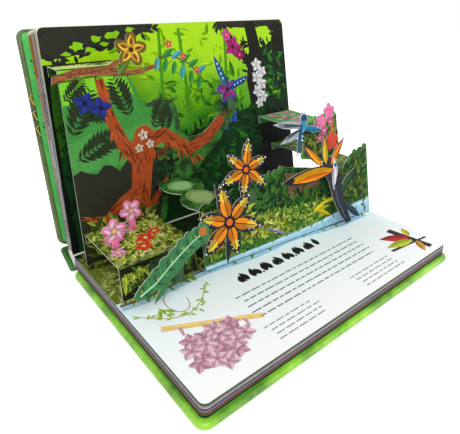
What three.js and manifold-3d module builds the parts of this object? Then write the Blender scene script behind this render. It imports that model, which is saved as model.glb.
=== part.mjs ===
// Pop-up book, opened a little past upright: a padded case, a block of stiff card
// leaves and a folded card stage of jungle foliage and flowers glued into the spread.
//
// Millimetres, +Z up. X runs along the spine and +Y towards the standing half.
// The origin is the centre of the flat underside of the back cover.

import * as THREE from 'three';
import { mergeVertices } from 'three/addons/utils/BufferGeometryUtils.js';
import Module from 'manifold-3d';

const wasm = await Module();
wasm.setup();

// Leaves
const pageLength = 300;      // along the spine
const pageDepth = 212;       // from the gutter to the fore edge
const pageCorner = 5;
const lyingStack = 11;       // thickness of the leaves that lie down
const lyingLeaves = 8;
const standingLeaves = 6;
const standingPitch = 1.9;   // from leaf to leaf at the gutter
const standingLeaf = 1.2;    // one doubled leaf of card
const standingBind = 16;     // height of the part pressed together at the gutter
const pageLean = 10;         // degrees past vertical of the leaf that faces the reader
const leafFan = 0.9;         // degrees from leaf to leaf
const leafGroove = 1.3;      // how far the seams between lying leaves go in

// Case
const coverOverhang = 4;     // how far the boards reach past the leaves
const coverThickness = 6;    // board, foam and cloth together
const coverPadding = 2.6;    // radius of the padded edges
const coverCorner = 9;
const coverLean = 17.5;      // degrees past vertical of the front cover
const spineWidth = 34;       // from one hinge groove to the other
const spineTilt = 24;        // degrees that the spine rises from the table
const spineThickness = 5;
const hingeGroove = 5;       // bare cloth between a board and the spine board
const hingeBack = 3;         // the back hinge lies this far in front of the gutter
const hingeCloth = 1;        // covering cloth where it crosses a groove
const endpaper = 0.4;

// Card engineering
const card = 0.6;
const seat = 0.3;            // glue line between two pieces
const glueTab = 9;
const strutFlange = 9;
const strutHeight = 12;

// Stage: where each riser meets the lying page, and how high its step is
const treeOffset = 23.5;
const treeHeight = 177;
const treeLeft = 4;
const treeLedgeRight = 62;
const leftBankOffset = 92;
const leftBankHeight = 29;
const leftBankWidth = 72;
const riverOffset = 92;      // at the left end of the page
const riverSlant = 5.2;      // degrees that its foot line turns away from the gutter
const riverHeight = 57;
const riverLeft = 82;
const flowerOffset = 79.5;
const flowerHeight = 94;
const flowerLedgeWidth = 55; // from the right end of the page
const flowerRiserWidth = 64;
const mossLedgeWidth = 37;
const stepWidth = 34;        // the stepping ledge at the left end of the river bank
const figureReach = 11;      // how far the struts hold the large flowers off the bank
const frondReach = 25;
const smallReach = 7;
const boughTipX = 186;       // end of the long bough, from the tree panel's left edge
const boughTipY = 124;

// Flowers: the middle of each, from the piece that carries it, and its radius
const lilyHighX = 45;        // from the left end of the river bank
const lilyHighRise = 30;     // above the river bank's step
const lilyHighRadius = 29;
const lilyLowX = 22;
const lilyLowRise = 44;      // above the page
const lilyLowRadius = 37;
const craneX = 58;           // from the right end of the page
const craneRise = 70;
const dragonflyX = 60;
const dragonflyRise = 8;     // above the flower ledge
const blossomRadius = 10;

const radians = THREE.MathUtils.degToRad;
const leanSlope = Math.tan(radians(pageLean));
const coverLength = pageLength + 2 * coverOverhang;
const coverDepth = pageDepth + coverOverhang;
const tableZ = -(lyingStack + seat + endpaper + seat + coverThickness);
const boardTop = tableZ + coverThickness;
const hingeZ = tableZ + seat;
const flowerRight = pageLength;
const flowerLedgeLeft = pageLength - flowerLedgeWidth;
const flowerRiserLeft = pageLength - flowerRiserWidth;
const mossLedgeLeft = pageLength - mossLedgeWidth;

const materials = {
  cloth: { color: 0x6fbf1f, roughness: 0.35 },
  spineCloth: { color: 0x24661b, roughness: 0.4 },
  endpaper: { color: 0x3f9a45, roughness: 0.7 },
  page: { color: 0xe9f6f4, roughness: 0.6 },
  tree: { color: 0x3f7d2a, roughness: 0.55 },
  bark: { color: 0x8a4b2a, roughness: 0.55 },
  foliage: { color: 0x7d9a2c, roughness: 0.55 },
  ledge: { color: 0x5da75a, roughness: 0.55 },
  lily: { color: 0xf7941d, roughness: 0.5 },
  crane: { color: 0xffa61a, roughness: 0.5 },
  wing: { color: 0x2f7fa6, roughness: 0.5 },
  frond: { color: 0x3e7d4b, roughness: 0.5 },
  pink: { color: 0xf06fa8, roughness: 0.5 },
  red: { color: 0xe8431a, roughness: 0.5 },
  violet: { color: 0x5b3f8f, roughness: 0.5 },
  gold: { color: 0xe6b93a, roughness: 0.5 },
  strut: { color: 0xf4f4ee, roughness: 0.7 },
};

function material(name) {
  return new THREE.MeshStandardMaterial({ ...materials[name], metalness: 0 });
}

function named(name, geometry, look) {
  const mesh = new THREE.Mesh(geometry, material(look));
  mesh.name = name;
  return mesh;
}

// Solids for joining and cutting
function toSolid(geometry) {
  const bare = geometry.clone();
  bare.deleteAttribute('normal');
  bare.deleteAttribute('uv');
  const merged = mergeVertices(bare, 1e-4);
  return new wasm.Manifold(new wasm.Mesh({
    numProp: 3,
    vertProperties: new Float32Array(merged.attributes.position.array),
    triVerts: new Uint32Array(merged.index.array),
  }));
}

function toGeometry(solid) {
  const mesh = solid.getMesh();
  const geometry = new THREE.BufferGeometry();
  geometry.setAttribute('position', new THREE.BufferAttribute(mesh.vertProperties, 3));
  geometry.setIndex(new THREE.BufferAttribute(mesh.triVerts, 1));
  geometry.computeVertexNormals();
  return geometry;
}

function joined(geometries) {
  return toGeometry(geometries.map(toSolid).reduce((whole, next) => whole.add(next)));
}

// Outlines
function polygon(points) {
  return new THREE.Shape(points.map(([x, y]) => new THREE.Vector2(x, y)));
}

function rectangle(left, bottom, width, height) {
  return polygon([
    [left, bottom],
    [left + width, bottom],
    [left + width, bottom + height],
    [left, bottom + height],
  ]);
}

function roundedRectangle(left, bottom, width, height, radius) {
  const right = left + width;
  const top = bottom + height;
  const shape = new THREE.Shape();
  shape.moveTo(left + radius, bottom);
  shape.lineTo(right - radius, bottom);
  shape.absarc(right - radius, bottom + radius, radius, -Math.PI / 2, 0);
  shape.lineTo(right, top - radius);
  shape.absarc(right - radius, top - radius, radius, 0, Math.PI / 2);
  shape.lineTo(left + radius, top);
  shape.absarc(left + radius, top - radius, radius, Math.PI / 2, Math.PI);
  shape.lineTo(left, bottom + radius);
  shape.absarc(left + radius, bottom + radius, radius, Math.PI, 1.5 * Math.PI);
  return shape;
}

// A run of leaf lobes from the pen's place to a point, each one bulging to the left of
// its course; every second lobe is a smaller one.
function leafEdge(shape, toX, toY, lobes, bulge) {
  const from = shape.currentPoint.clone();
  const along = new THREE.Vector2(toX, toY).sub(from);
  const outward = new THREE.Vector2(-along.y, along.x).normalize();
  for (let i = 0; i < lobes; i += 1) {
    const size = i % 2 ? 0.6 * bulge : bulge;
    const middle = from.clone().addScaledVector(along, (i + 0.6) / lobes);
    const end = from.clone().addScaledVector(along, (i + 1) / lobes);
    middle.addScaledVector(outward, 2 * size);
    shape.quadraticCurveTo(middle.x, middle.y, end.x, end.y);
  }
}

// A blossom seen face on: the radius swells once for each petal.
function petals(x, y, radius, count, waist, turn) {
  const steps = 6 * count;
  const points = [];
  for (let i = 0; i < steps; i += 1) {
    const angle = (2 * Math.PI * i) / steps;
    const swell = Math.abs(Math.cos((count * angle) / 2));
    const r = radius * (waist + (1 - waist) * swell ** 0.9);
    points.push([
      x + r * Math.cos(angle + radians(turn)),
      y + r * Math.sin(angle + radians(turn)),
    ]);
  }
  return polygon(points);
}

// A pointed leaf blade between two points, as wide as given at its middle.
function blade(fromX, fromY, toX, toY, width) {
  const middleX = (fromX + toX) / 2;
  const middleY = (fromY + toY) / 2;
  const length = Math.hypot(toX - fromX, toY - fromY);
  const sideX = (-(toY - fromY) / length) * width;
  const sideY = ((toX - fromX) / length) * width;
  const shape = new THREE.Shape();
  shape.moveTo(fromX, fromY);
  shape.quadraticCurveTo(middleX - sideX, middleY - sideY, toX, toY);
  shape.quadraticCurveTo(middleX + sideX, middleY + sideY, fromX, fromY);
  return shape;
}

// A lily seen face on: pointed petals round a small throat
function lily(x, y, radius, turn) {
  const count = 6;
  const shapes = [petals(x, y, 0.3 * radius, count, 1, 0)];
  for (let i = 0; i < count; i += 1) {
    const angle = radians(turn + (360 * i) / count);
    const reach = i % 2 ? radius : 0.88 * radius;
    shapes.push(blade(x, y, x + reach * Math.cos(angle), y + reach * Math.sin(angle), 0.42 * radius));
  }
  return shapes;
}

function plate(shape, thickness = card, segments = 4) {
  return new THREE.ExtrudeGeometry(shape, {
    depth: thickness,
    bevelEnabled: false,
    curveSegments: segments,
  });
}

function cutout(shapes) {
  return shapes.length > 1 ? joined(shapes.map((shape) => plate(shape))) : plate(shapes[0]);
}

// Planes of the stage: x runs along the plane's foot line, y up its face, z to the reader
function riserMatrix(offset, slant = 0, out = 0) {
  const matrix = new THREE.Matrix4().makeTranslation(0, -offset, 0);
  matrix.multiply(new THREE.Matrix4().makeRotationZ(radians(-slant)));
  matrix.multiply(new THREE.Matrix4().makeRotationX(radians(90 - pageLean)));
  return matrix.multiply(new THREE.Matrix4().makeTranslation(0, 0, out));
}

function riserGroup(offset, slant = 0, out = 0) {
  const group = new THREE.Group();
  group.applyMatrix4(riserMatrix(offset, slant, out));
  return group;
}

// The depth of a riser's back face at a place along the page and a height
function riserY(offset, slant, x, z) {
  return -offset - x * Math.tan(radians(slant)) + (z * leanSlope) / Math.cos(radians(slant));
}

function onRiser(shape, offset, slant = 0, out = 0) {
  return plate(shape).applyMatrix4(riserMatrix(offset, slant, out));
}

function onFloor(shape, z) {
  return plate(shape).translate(0, 0, z);
}

// Where a step at height z leaves the standing page, clear of it by the glue line
function pageY(z) {
  return z * leanSlope - seat / Math.cos(radians(pageLean));
}

function pageTab(left, right, height) {
  const down = rectangle(left, height - glueTab, right - left, glueTab);
  return onRiser(down, 0, 0, seat);
}

function floorTab(left, right, offset, slant = 0) {
  const front = card * 0.5;
  return onFloor(polygon([
    [left, riserY(offset, slant, left, 0) - front],
    [right, riserY(offset, slant, right, 0) - front],
    [right, riserY(offset, slant, right, 0) + glueTab],
    [left, riserY(offset, slant, left, 0) + glueTab],
  ]), seat);
}

// A step between the standing page and the front of a riser
function stepPlate(left, right, height, offset, slant = 0) {
  const z = height * Math.cos(radians(pageLean));
  const front = card * 0.5;
  return onFloor(polygon([
    [left, riserY(offset, slant, left, z) - front],
    [right, riserY(offset, slant, right, z) - front],
    [right, pageY(z)],
    [left, pageY(z)],
  ]), z);
}

// A strut folded to a Z from one strip: it holds a figure off the riser behind it
function strut(x, top, reach, height = strutHeight) {
  const depth = reach - 2 * seat;
  const profile = polygon([
    [0, 0],
    [strutFlange, 0],
    [strutFlange, depth - card],
    [2 * strutFlange - card, depth - card],
    [2 * strutFlange - card, depth],
    [strutFlange - card, depth],
    [strutFlange - card, card],
    [0, card],
  ]);
  const geometry = plate(profile, height).rotateX(Math.PI / 2);
  return geometry.translate(x - strutFlange, top, card + seat);
}

// Case boards: a flat panel with fully padded edges
function paddedBoard(width, depth, thickness, corner) {
  const padding = Math.min(coverPadding, 0.45 * thickness);
  const outline = roundedRectangle(
    padding,
    padding,
    width - 2 * padding,
    depth - 2 * padding,
    corner - padding,
  );
  const geometry = new THREE.ExtrudeGeometry(outline, {
    depth: thickness - 2 * padding,
    bevelEnabled: true,
    bevelThickness: padding,
    bevelSize: padding,
    bevelSegments: 3,
    curveSegments: 5,
  });
  return geometry.translate(0, 0, padding);
}

// The covering cloth runs on over a groove, nearly to the line that two boards turn
// about. Its edges there come together when the boards are folded by the angle given.
function clothClearance(fold) {
  return seat / 2 + hingeCloth * Math.tan(radians(fold) / 2);
}

function clothStrip(from, to) {
  return plate(rectangle(coverCorner, from, coverLength - 2 * coverCorner, to - from), hingeCloth);
}

// A board with its cloth: y starts at its hinge line and runs away from it
function caseBoard(name, depth, thickness, corner, fold, look) {
  const edge = hingeGroove / 2;
  const board = paddedBoard(coverLength, depth - edge, thickness, corner).translate(0, edge, 0);
  const strip = clothStrip(clothClearance(fold), edge + 2 * coverPadding);
  return named(name, joined([board, strip]), look);
}

function backCover() {
  const mesh = caseBoard(
    'back_cover',
    coverDepth - hingeBack,
    coverThickness,
    coverCorner,
    spineTilt,
    'cloth',
  );
  mesh.rotation.z = Math.PI;
  mesh.position.set(pageLength + coverOverhang, -hingeBack, tableZ);
  return mesh;
}

function backEndpaper() {
  const depth = pageDepth - hingeBack - hingeGroove;
  const sheet = plate(roundedRectangle(0, 0, pageLength, depth, pageCorner), endpaper);
  const mesh = named('back_endpaper', sheet, 'endpaper');
  mesh.position.set(0, -pageDepth, boardTop + seat);
  return mesh;
}

// The spine turns on the back hinge, and the front cover on the far edge of the spine
const coverFold = 90 - coverLean - spineTilt;

function caseSpine() {
  const spine = new THREE.Group();
  spine.position.set(0, -hingeBack, hingeZ);
  spine.rotation.x = radians(spineTilt);
  const edge = hingeGroove / 2;
  const width = spineWidth - hingeGroove;
  const board = paddedBoard(coverLength, width, spineThickness, coverPadding + 1);
  const geometry = joined([
    board.translate(0, edge, 0),
    clothStrip(clothClearance(spineTilt), edge + 2 * coverPadding),
    clothStrip(spineWidth - edge - 2 * coverPadding, spineWidth - clothClearance(coverFold)),
  ]);
  const mesh = named('spine_board', geometry, 'spineCloth');
  mesh.position.x = -coverOverhang;
  spine.add(mesh);
  spine.add(frontCover());
  return spine;
}

function frontCover() {
  const cover = new THREE.Group();
  cover.position.y = spineWidth;
  cover.rotation.x = radians(coverFold);
  const board = caseBoard(
    'front_cover',
    coverDepth,
    coverThickness,
    coverCorner,
    coverFold,
    'cloth',
  );
  board.position.x = -coverOverhang;
  cover.add(board);
  const depth = pageDepth - hingeGroove;
  const lining = plate(roundedRectangle(0, 0, pageLength, depth, pageCorner), endpaper);
  const sheet = named('front_endpaper', lining, 'endpaper');
  sheet.position.set(0, hingeGroove, coverThickness + seat);
  cover.add(sheet);
  return cover;
}

// All leaves as one body: the side view of the lying stack and the standing fan, run
// along the spine, then cut to leaves with rounded corners.
function pageBlock() {
  const points = [];
  const place = (base, lean, up) => [
    base.x + up * Math.sin(radians(lean)),
    base.y + up * Math.cos(radians(lean)),
  ];
  const across = new THREE.Vector2(Math.cos(radians(pageLean)), -Math.sin(radians(pageLean)));
  points.push([-pageDepth, 0]);
  const leafPitch = lyingStack / lyingLeaves;
  for (let i = 1; i < lyingLeaves; i += 1) {
    points.push([-pageDepth, -i * leafPitch + 0.15 * leafPitch]);
    points.push([-pageDepth + leafGroove, -i * leafPitch]);
    points.push([-pageDepth, -i * leafPitch - 0.15 * leafPitch]);
  }
  points.push([-pageDepth, -lyingStack]);
  points.push([-hingeBack, -lyingStack]);
  for (let i = standingLeaves - 1; i >= 0; i -= 1) {
    const lean = pageLean + i * leafFan;
    const back = across.clone().multiplyScalar(i * standingPitch + standingLeaf);
    const front = across.clone().multiplyScalar(i * standingPitch);
    if (i === standingLeaves - 1) {
      points.push(place(back, lean, 0));
    }
    points.push(place(back, lean, pageDepth));
    points.push(place(front, lean, pageDepth));
    if (i > 0) {
      const valley = across.clone().multiplyScalar((i - 1) * standingPitch + standingLeaf);
      points.push(place(front, lean, standingBind));
      points.push(place(valley, pageLean + (i - 1) * leafFan, standingBind));
    }
  }
  points.push([0, 0]);
  const section = new THREE.ExtrudeGeometry(polygon(points), {
    depth: pageLength,
    bevelEnabled: false,
  });
  section.applyMatrix4(new THREE.Matrix4().makeBasis(
    new THREE.Vector3(0, 1, 0),
    new THREE.Vector3(0, 0, 1),
    new THREE.Vector3(1, 0, 0),
  ));
  const room = 3 * coverThickness;
  const roundEnd = (reach) => roundedRectangle(0, -reach, pageLength, pageDepth + reach, pageCorner);
  const standing = plate(roundEnd(room), pageDepth / 2 + room);
  standing.translate(0, 0, -pageDepth / 2).applyMatrix4(riserMatrix(0, 0, 0));
  const lying = plate(roundEnd(room), lyingStack + room).rotateX(Math.PI);
  lying.translate(0, 0, room / 2);
  const keep = toSolid(standing).add(toSolid(lying));
  const block = toSolid(section).intersect(keep);
  return named('page_block', toGeometry(block), 'page');
}

// Stage cards: each is one sheet, folded at the page, at its step and at its foot
function treeStage() {
  const panel = new THREE.Shape();
  const top = treeHeight + card;
  panel.moveTo(treeLeft, 0);
  panel.lineTo(treeLeft + 76, 0);
  leafEdge(panel, treeLeft + 96, 50, 3, -3);
  const tipX = treeLeft + boughTipX;
  panel.quadraticCurveTo(treeLeft + 122, 50, treeLeft + 140, 70);
  panel.quadraticCurveTo(tipX - 18, boughTipY - 34, tipX + 4, boughTipY - 8);
  panel.quadraticCurveTo(tipX + 12, boughTipY + 4, tipX + 2, boughTipY + 9);
  panel.quadraticCurveTo(tipX - 14, boughTipY - 2, tipX - 34, boughTipY - 20);
  panel.quadraticCurveTo(tipX - 54, boughTipY - 34, treeLeft + 117, 100);
  leafEdge(panel, treeLeft + 111, 141, 3, 3);
  leafEdge(panel, treeLeft + 76, 141, 3, 3);
  leafEdge(panel, treeLedgeRight + 6, 168, 2, 3);
  panel.quadraticCurveTo(treeLedgeRight + 4, treeHeight, treeLedgeRight, top);
  panel.lineTo(treeLeft, top);
  const geometry = joined([
    onRiser(panel, treeOffset),
    stepPlate(treeLeft, treeLedgeRight, treeHeight, treeOffset),
    pageTab(treeLeft, treeLedgeRight, treeHeight),
    floorTab(treeLeft, treeLeft + 76, treeOffset),
  ]);
  return named('tree_stage', geometry, 'tree');
}

function leftBank() {
  const left = treeLeft + 2;
  const right = left + leftBankWidth;
  const z = leftBankHeight * Math.cos(radians(pageLean));
  const back = riserY(treeOffset, 0, 0, z) - card - seat;
  const front = riserY(leftBankOffset, 0, 0, z) - card * 0.5;
  const step = new THREE.Shape();
  step.moveTo(left, back);
  step.lineTo(left, front);
  step.lineTo(right, front);
  leafEdge(step, right - 8, back, 5, -3);
  const face = new THREE.Shape();
  face.moveTo(left, 0);
  face.lineTo(right, 0);
  face.lineTo(right, leftBankHeight + card);
  leafEdge(face, left, leftBankHeight + card, 7, -2.2);
  const tab = rectangle(left, leftBankHeight - glueTab, right - 8 - left, glueTab);
  const geometry = joined([
    onRiser(face, leftBankOffset),
    onFloor(step, z),
    onRiser(tab, treeOffset, 0, card + seat),
    floorTab(left, right, leftBankOffset),
  ]);
  return named('left_bank', geometry, 'foliage');
}

function riverBank() {
  const right = pageLength / Math.cos(radians(riverSlant));
  const face = new THREE.Shape();
  const crest = riverHeight + 10;
  face.moveTo(riverLeft, 0);
  face.lineTo(right, 0);
  face.lineTo(right, riverHeight + 22);
  leafEdge(face, right - 24, riverHeight + 16, 3, -3);
  leafEdge(face, right - 40, riverHeight + 2, 2, -2);
  face.lineTo(right - 122, riverHeight + 20);
  leafEdge(face, riverLeft + stepWidth + 8, crest, 8, -3);
  leafEdge(face, riverLeft, riverHeight + 2, 4, -3);
  const z = riverHeight * Math.cos(radians(pageLean));
  const front = card * 0.5;
  const stepRight = riverLeft + stepWidth;
  const stepBack = riserY(treeOffset, 0, 0, z) - card - seat;
  const stepFront = riserY(riverOffset, riverSlant, riverLeft, z) - front;
  const stepEnd = riserY(riverOffset, riverSlant, stepRight, z) - front;
  const stones = new THREE.Shape();
  stones.moveTo(riverLeft, stepFront);
  stones.lineTo(stepRight, stepEnd);
  stones.quadraticCurveTo(stepRight + 12, stepEnd + 22, stepRight - 6, stepEnd + 36);
  stones.quadraticCurveTo(stepRight + 14, stepEnd + 54, stepRight, stepBack);
  stones.lineTo(riverLeft + 4, stepBack);
  stones.quadraticCurveTo(riverLeft - 10, stepFront + 54, riverLeft + 6, stepFront + 38);
  stones.quadraticCurveTo(riverLeft - 12, stepFront + 18, riverLeft, stepFront);
  const stoneTab = rectangle(riverLeft + 4, riverHeight - glueTab, stepWidth - 4, glueTab);
  const geometry = joined([
    onRiser(face, riverOffset, riverSlant),
    stepPlate(mossLedgeLeft, pageLength, riverHeight, riverOffset, riverSlant),
    pageTab(mossLedgeLeft, pageLength, riverHeight),
    onFloor(stones, z),
    onRiser(stoneTab, treeOffset, 0, card + seat),
    floorTab(riverLeft, pageLength, riverOffset, riverSlant),
  ]);
  return named('river_bank', geometry, 'foliage');
}

function flowerLedge() {
  const foot = riverHeight + (card + seat) / Math.cos(radians(pageLean));
  const face = new THREE.Shape();
  face.moveTo(flowerRiserLeft, foot + 6);
  face.lineTo(mossLedgeLeft, foot);
  face.lineTo(flowerRight, foot);
  leafEdge(face, flowerRight - 2, flowerHeight + 14, 5, -2);
  leafEdge(face, flowerLedgeLeft + 6, flowerHeight + 12, 6, -3);
  face.lineTo(flowerLedgeLeft, flowerHeight + card);
  leafEdge(face, flowerRiserLeft, foot + 6, 3, -3);
  const geometry = joined([
    onRiser(face, flowerOffset),
    stepPlate(flowerLedgeLeft, flowerRight, flowerHeight, flowerOffset),
    pageTab(flowerLedgeLeft, flowerRight, flowerHeight),
  ]);
  return named('flower_ledge', geometry, 'ledge');
}

function bough() {
  const group = riserGroup(treeOffset, 0, card + seat);
  const y = treeHeight - 8;
  const shape = new THREE.Shape();
  shape.moveTo(treeLeft - 6, y - 4);
  shape.quadraticCurveTo(treeLeft + 20, y + 5, treeLeft + 46, y - 1);
  shape.quadraticCurveTo(treeLeft + 70, y - 6, treeLeft + 94, y + 2);
  shape.lineTo(treeLeft + 95, y + 6);
  shape.quadraticCurveTo(treeLeft + 70, y, treeLeft + 52, y + 4);
  shape.lineTo(treeLeft + 58, y + 12);
  shape.lineTo(treeLeft + 53, y + 13);
  shape.quadraticCurveTo(treeLeft + 46, y + 4, treeLeft + 20, y + 9);
  shape.lineTo(treeLeft - 5, y + 3);
  group.add(named('bough', plate(shape), 'bark'));
  return group;
}

// Figures that stand off the river bank, each on a strut of its own
function bankFigure(name, geometry, look, strutX, strutTop, reach) {
  const group = riserGroup(riverOffset, riverSlant);
  const figure = named(name, geometry, look);
  figure.position.z = card + reach;
  group.add(figure);
  group.add(named(`${name}_strut`, strut(strutX, strutTop, reach), 'strut'));
  return group;
}

function lilyHigh() {
  const x = riverLeft + lilyHighX;
  const y = riverHeight + lilyHighRise;
  const geometry = cutout([
    ...lily(x, y, lilyHighRadius, 18),
    blade(x - 8, y - 26, x, y, 5),
  ]);
  return bankFigure('lily_high', geometry, 'lily', x, riverHeight + 9, figureReach);
}

function lilyLow() {
  const x = riverLeft + lilyLowX;
  const y = lilyLowRise;
  const geometry = cutout([
    ...lily(x, y, lilyLowRadius, 40),
    blade(x - 6, 6, x, y, 6),
    blade(x - 2, y, x - 12, y + 38, 5),
  ]);
  const reach = figureReach + card + 2 * seat;
  return bankFigure('lily_low', geometry, 'lily', x, y - 2, reach);
}

function craneFlower() {
  const x = pageLength - craneX;
  const y = craneRise;
  const stem = new THREE.Shape();
  stem.moveTo(x + 16, 3);
  stem.quadraticCurveTo(x + 6, y - 40, x + 4, y - 12);
  stem.quadraticCurveTo(x, y + 8, x - 14, y + 10);
  stem.lineTo(x - 30, y - 2);
  stem.quadraticCurveTo(x - 14, y - 8, x - 12, y - 24);
  stem.quadraticCurveTo(x - 8, y - 46, x + 8, 2);
  const geometry = cutout([
    stem,
    blade(x + 2, y - 4, x - 76, y - 6, 15),
    blade(x - 20, y, x - 46, y + 27, 8),
    blade(x - 16, y, x - 16, y + 32, 9),
    blade(x - 12, y - 2, x + 12, y + 26, 8),
    blade(x, y - 34, x + 26, y - 10, 9),
    blade(x + 8, 24, x + 30, 4, 8),
  ]);
  return bankFigure('crane_flower', geometry, 'crane', x - 6, y - 16, figureReach);
}

function fernFrond() {
  const group = riserGroup(leftBankOffset);
  const reach = frondReach;
  const shape = new THREE.Shape();
  shape.moveTo(8, 10);
  shape.quadraticCurveTo(34, 10, 52, 24);
  shape.quadraticCurveTo(66, 34, 74, 34);
  shape.quadraticCurveTo(82, 44, 76, 52);
  leafEdge(shape, 54, 46, 3, -2.5);
  leafEdge(shape, 20, 26, 4, -2.5);
  shape.quadraticCurveTo(8, 20, 5, 14);
  const frond = named('fern_frond', cutout([shape, blade(20, 2, 40, 20, 6)]), 'frond');
  frond.position.z = card + reach;
  group.add(frond);
  group.add(named('fern_frond_strut', strut(42, 26, reach, 16), 'strut'));
  return group;
}

// Two pairs of wings and a long body in flight before the flower ledge
function dragonfly() {
  const group = riserGroup(flowerOffset);
  const reach = smallReach;
  const x = flowerRight - dragonflyX;
  const y = flowerHeight + dragonflyRise;
  const geometry = cutout([
    blade(x, y, x - 50, y + 9, 9),
    blade(x, y - 2, x - 42, y - 13, 9),
    blade(x - 6, y + 10, x - 20, y - 32, 4),
    blade(x - 8, y - 2, x + 24, y - 8, 8),
    petals(x - 4, y + 9, 6, 5, 0.8, 0),
  ]);
  const figure = named('dragonfly', geometry, 'wing');
  figure.position.z = card + reach;
  group.add(figure);
  group.add(named('dragonfly_strut', strut(x + 8, y - 2, reach, 9), 'strut'));
  return group;
}

// Blossoms glued flat to the front of the flower ledge
function ledgeBlossoms() {
  const group = riserGroup(flowerOffset, 0, card + seat);
  const x = flowerRight - 14;
  const y = flowerHeight;
  const pink = cutout([
    petals(x, y + 17, blossomRadius, 5, 0.6, 20),
    petals(x - 15, y + 8, 0.85 * blossomRadius, 5, 0.6, 0),
    blade(x - 22, y - 4, x, y + 13, 5),
  ]);
  const middle = (riverHeight + flowerHeight) / 2;
  const red = cutout([
    petals(x + 2, middle, 1.2 * blossomRadius, 5, 0.6, 18),
    blade(x + 1, middle + 4, x + 5, middle + 24, 3),
  ]);
  group.add(named('pink_spray', pink, 'pink'));
  group.add(named('red_blossom', red, 'red'));
  return group;
}

function nightBlossom() {
  const group = riserGroup(treeOffset);
  const reach = smallReach;
  const x = treeLeft + boughTipX - 12;
  const y = boughTipY + 16;
  const geometry = cutout([
    petals(x, y, 1.5 * blossomRadius, 5, 0.55, 30),
    blade(x, y, x - 14, y + 38, 8),
    blade(x, y, x + 32, y + 12, 8),
  ]);
  const figure = named('night_blossom', geometry, 'violet');
  figure.position.z = card + reach;
  group.add(figure);
  group.add(named('night_blossom_strut', strut(x, y - 11, reach, 12), 'strut'));
  return group;
}

function goldBlossom() {
  const group = riserGroup(treeOffset, 0, card + seat);
  const x = treeLedgeRight + 12;
  const y = treeHeight + 13;
  const geometry = cutout([
    petals(x, y, 1.7 * blossomRadius, 5, 0.55, 10),
    blade(x - 18, y - 26, x, y - 6, 5),
  ]);
  const figure = named('gold_blossom', geometry, 'gold');
  figure.position.z = card + seat;
  group.add(figure);
  return group;
}

// Pink flowers that stand up from the left bank on a glued foot
function bankBlossom(name, x, depth, stem, radius, turn) {
  const group = new THREE.Group();
  const ground = leftBankHeight * Math.cos(radians(pageLean)) + card + seat;
  group.position.set(x, riserY(treeOffset, 0, x, ground) - depth, ground);
  const face = cutout([
    petals(0, stem, radius, 5, 0.6, turn),
    rectangle(-3, 0, 6, stem),
  ]);
  face.rotateX(radians(90 - pageLean));
  const foot = onFloor(rectangle(-3, -0.5 * card, 6, glueTab), 0);
  group.add(named(name, joined([face, foot]), 'pink'));
  return group;
}

const book = new THREE.Group();
book.position.set(-pageLength / 2, (coverDepth + hingeBack + hingeGroove / 2) / 2, -tableZ);
book.add(
  backCover(),
  backEndpaper(),
  caseSpine(),
  pageBlock(),
  treeStage(),
  bough(),
  leftBank(),
  riverBank(),
  flowerLedge(),
  lilyHigh(),
  lilyLow(),
  craneFlower(),
  fernFrond(),
  dragonfly(),
  ledgeBlossoms(),
  nightBlossom(),
  goldBlossom(),
  bankBlossom('pink_blossom_left', treeLeft + 14, 40, 15, 11, 15),
  bankBlossom('pink_blossom_right', treeLeft + 40, 20, 18, 11, 40),
);

const part = new THREE.Group();
part.add(book);

export default part;
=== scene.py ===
# %% [markdown]
# # A pop-up book
# The book lies open on a pale table. Its case, leaves and folded card stage come from
# the fixed frame, in metres. This lesson prints the card: every picture on the sheets is
# made of flat shapes laid a few hundredths of a millimetre over the card, as ink is.
# %% Load the frame
import math
import random
import bpy
from mathutils import Matrix, Vector


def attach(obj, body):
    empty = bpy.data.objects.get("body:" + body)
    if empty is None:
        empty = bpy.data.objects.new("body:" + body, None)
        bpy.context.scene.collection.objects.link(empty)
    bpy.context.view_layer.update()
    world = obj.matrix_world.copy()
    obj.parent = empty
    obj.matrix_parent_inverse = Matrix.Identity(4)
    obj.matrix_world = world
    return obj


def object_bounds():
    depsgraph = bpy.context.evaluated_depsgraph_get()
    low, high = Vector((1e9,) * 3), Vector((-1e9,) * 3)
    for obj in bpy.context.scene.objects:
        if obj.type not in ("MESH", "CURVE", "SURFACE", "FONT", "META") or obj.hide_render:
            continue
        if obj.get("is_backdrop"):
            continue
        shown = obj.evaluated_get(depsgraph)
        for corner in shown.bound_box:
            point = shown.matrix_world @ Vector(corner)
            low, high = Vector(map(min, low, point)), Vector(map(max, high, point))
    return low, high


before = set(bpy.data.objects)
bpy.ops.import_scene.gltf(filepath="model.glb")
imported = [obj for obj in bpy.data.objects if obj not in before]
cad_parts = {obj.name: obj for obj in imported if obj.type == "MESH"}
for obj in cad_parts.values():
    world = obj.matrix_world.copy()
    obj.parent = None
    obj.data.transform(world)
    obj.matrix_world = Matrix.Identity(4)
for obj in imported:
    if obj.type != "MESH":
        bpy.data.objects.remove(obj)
cad_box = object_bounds()
print("frame nodes:", len(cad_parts))

# %% [markdown]
# ## Measures
# The artwork is laid out as a printer would lay it out, in millimetres on each sheet.
# These are the same measures that the card was cut to, so a plane of the stage is found
# from its offset at the foot, its slant and how far it stands out.
# %% Planes of the book in millimetres
MM = 0.001
PAGE_LENGTH = 300
PAGE_DEPTH = 212
PAGE_CORNER = 5
PAGE_LEAN = 10
GUTTER = Vector((-150, 110.75, 18.0))
CARD = 0.6
SEAT = 0.3
TREE_OFFSET = 23.5
TREE_HEIGHT = 177
TREE_LEFT = 4
TREE_STEP_END = 62
BOUGH_TIP = (186, 124)
BANK_OFFSET = 92
BANK_HEIGHT = 29
RIVER_OFFSET = 92
RIVER_SLANT = 5.2
RIVER_HEIGHT = 57
FLOWER_OFFSET = 79.5
FLOWER_HEIGHT = 94
FERN_REACH = 25
SMALL_REACH = 7
INK = 0.05


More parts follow.
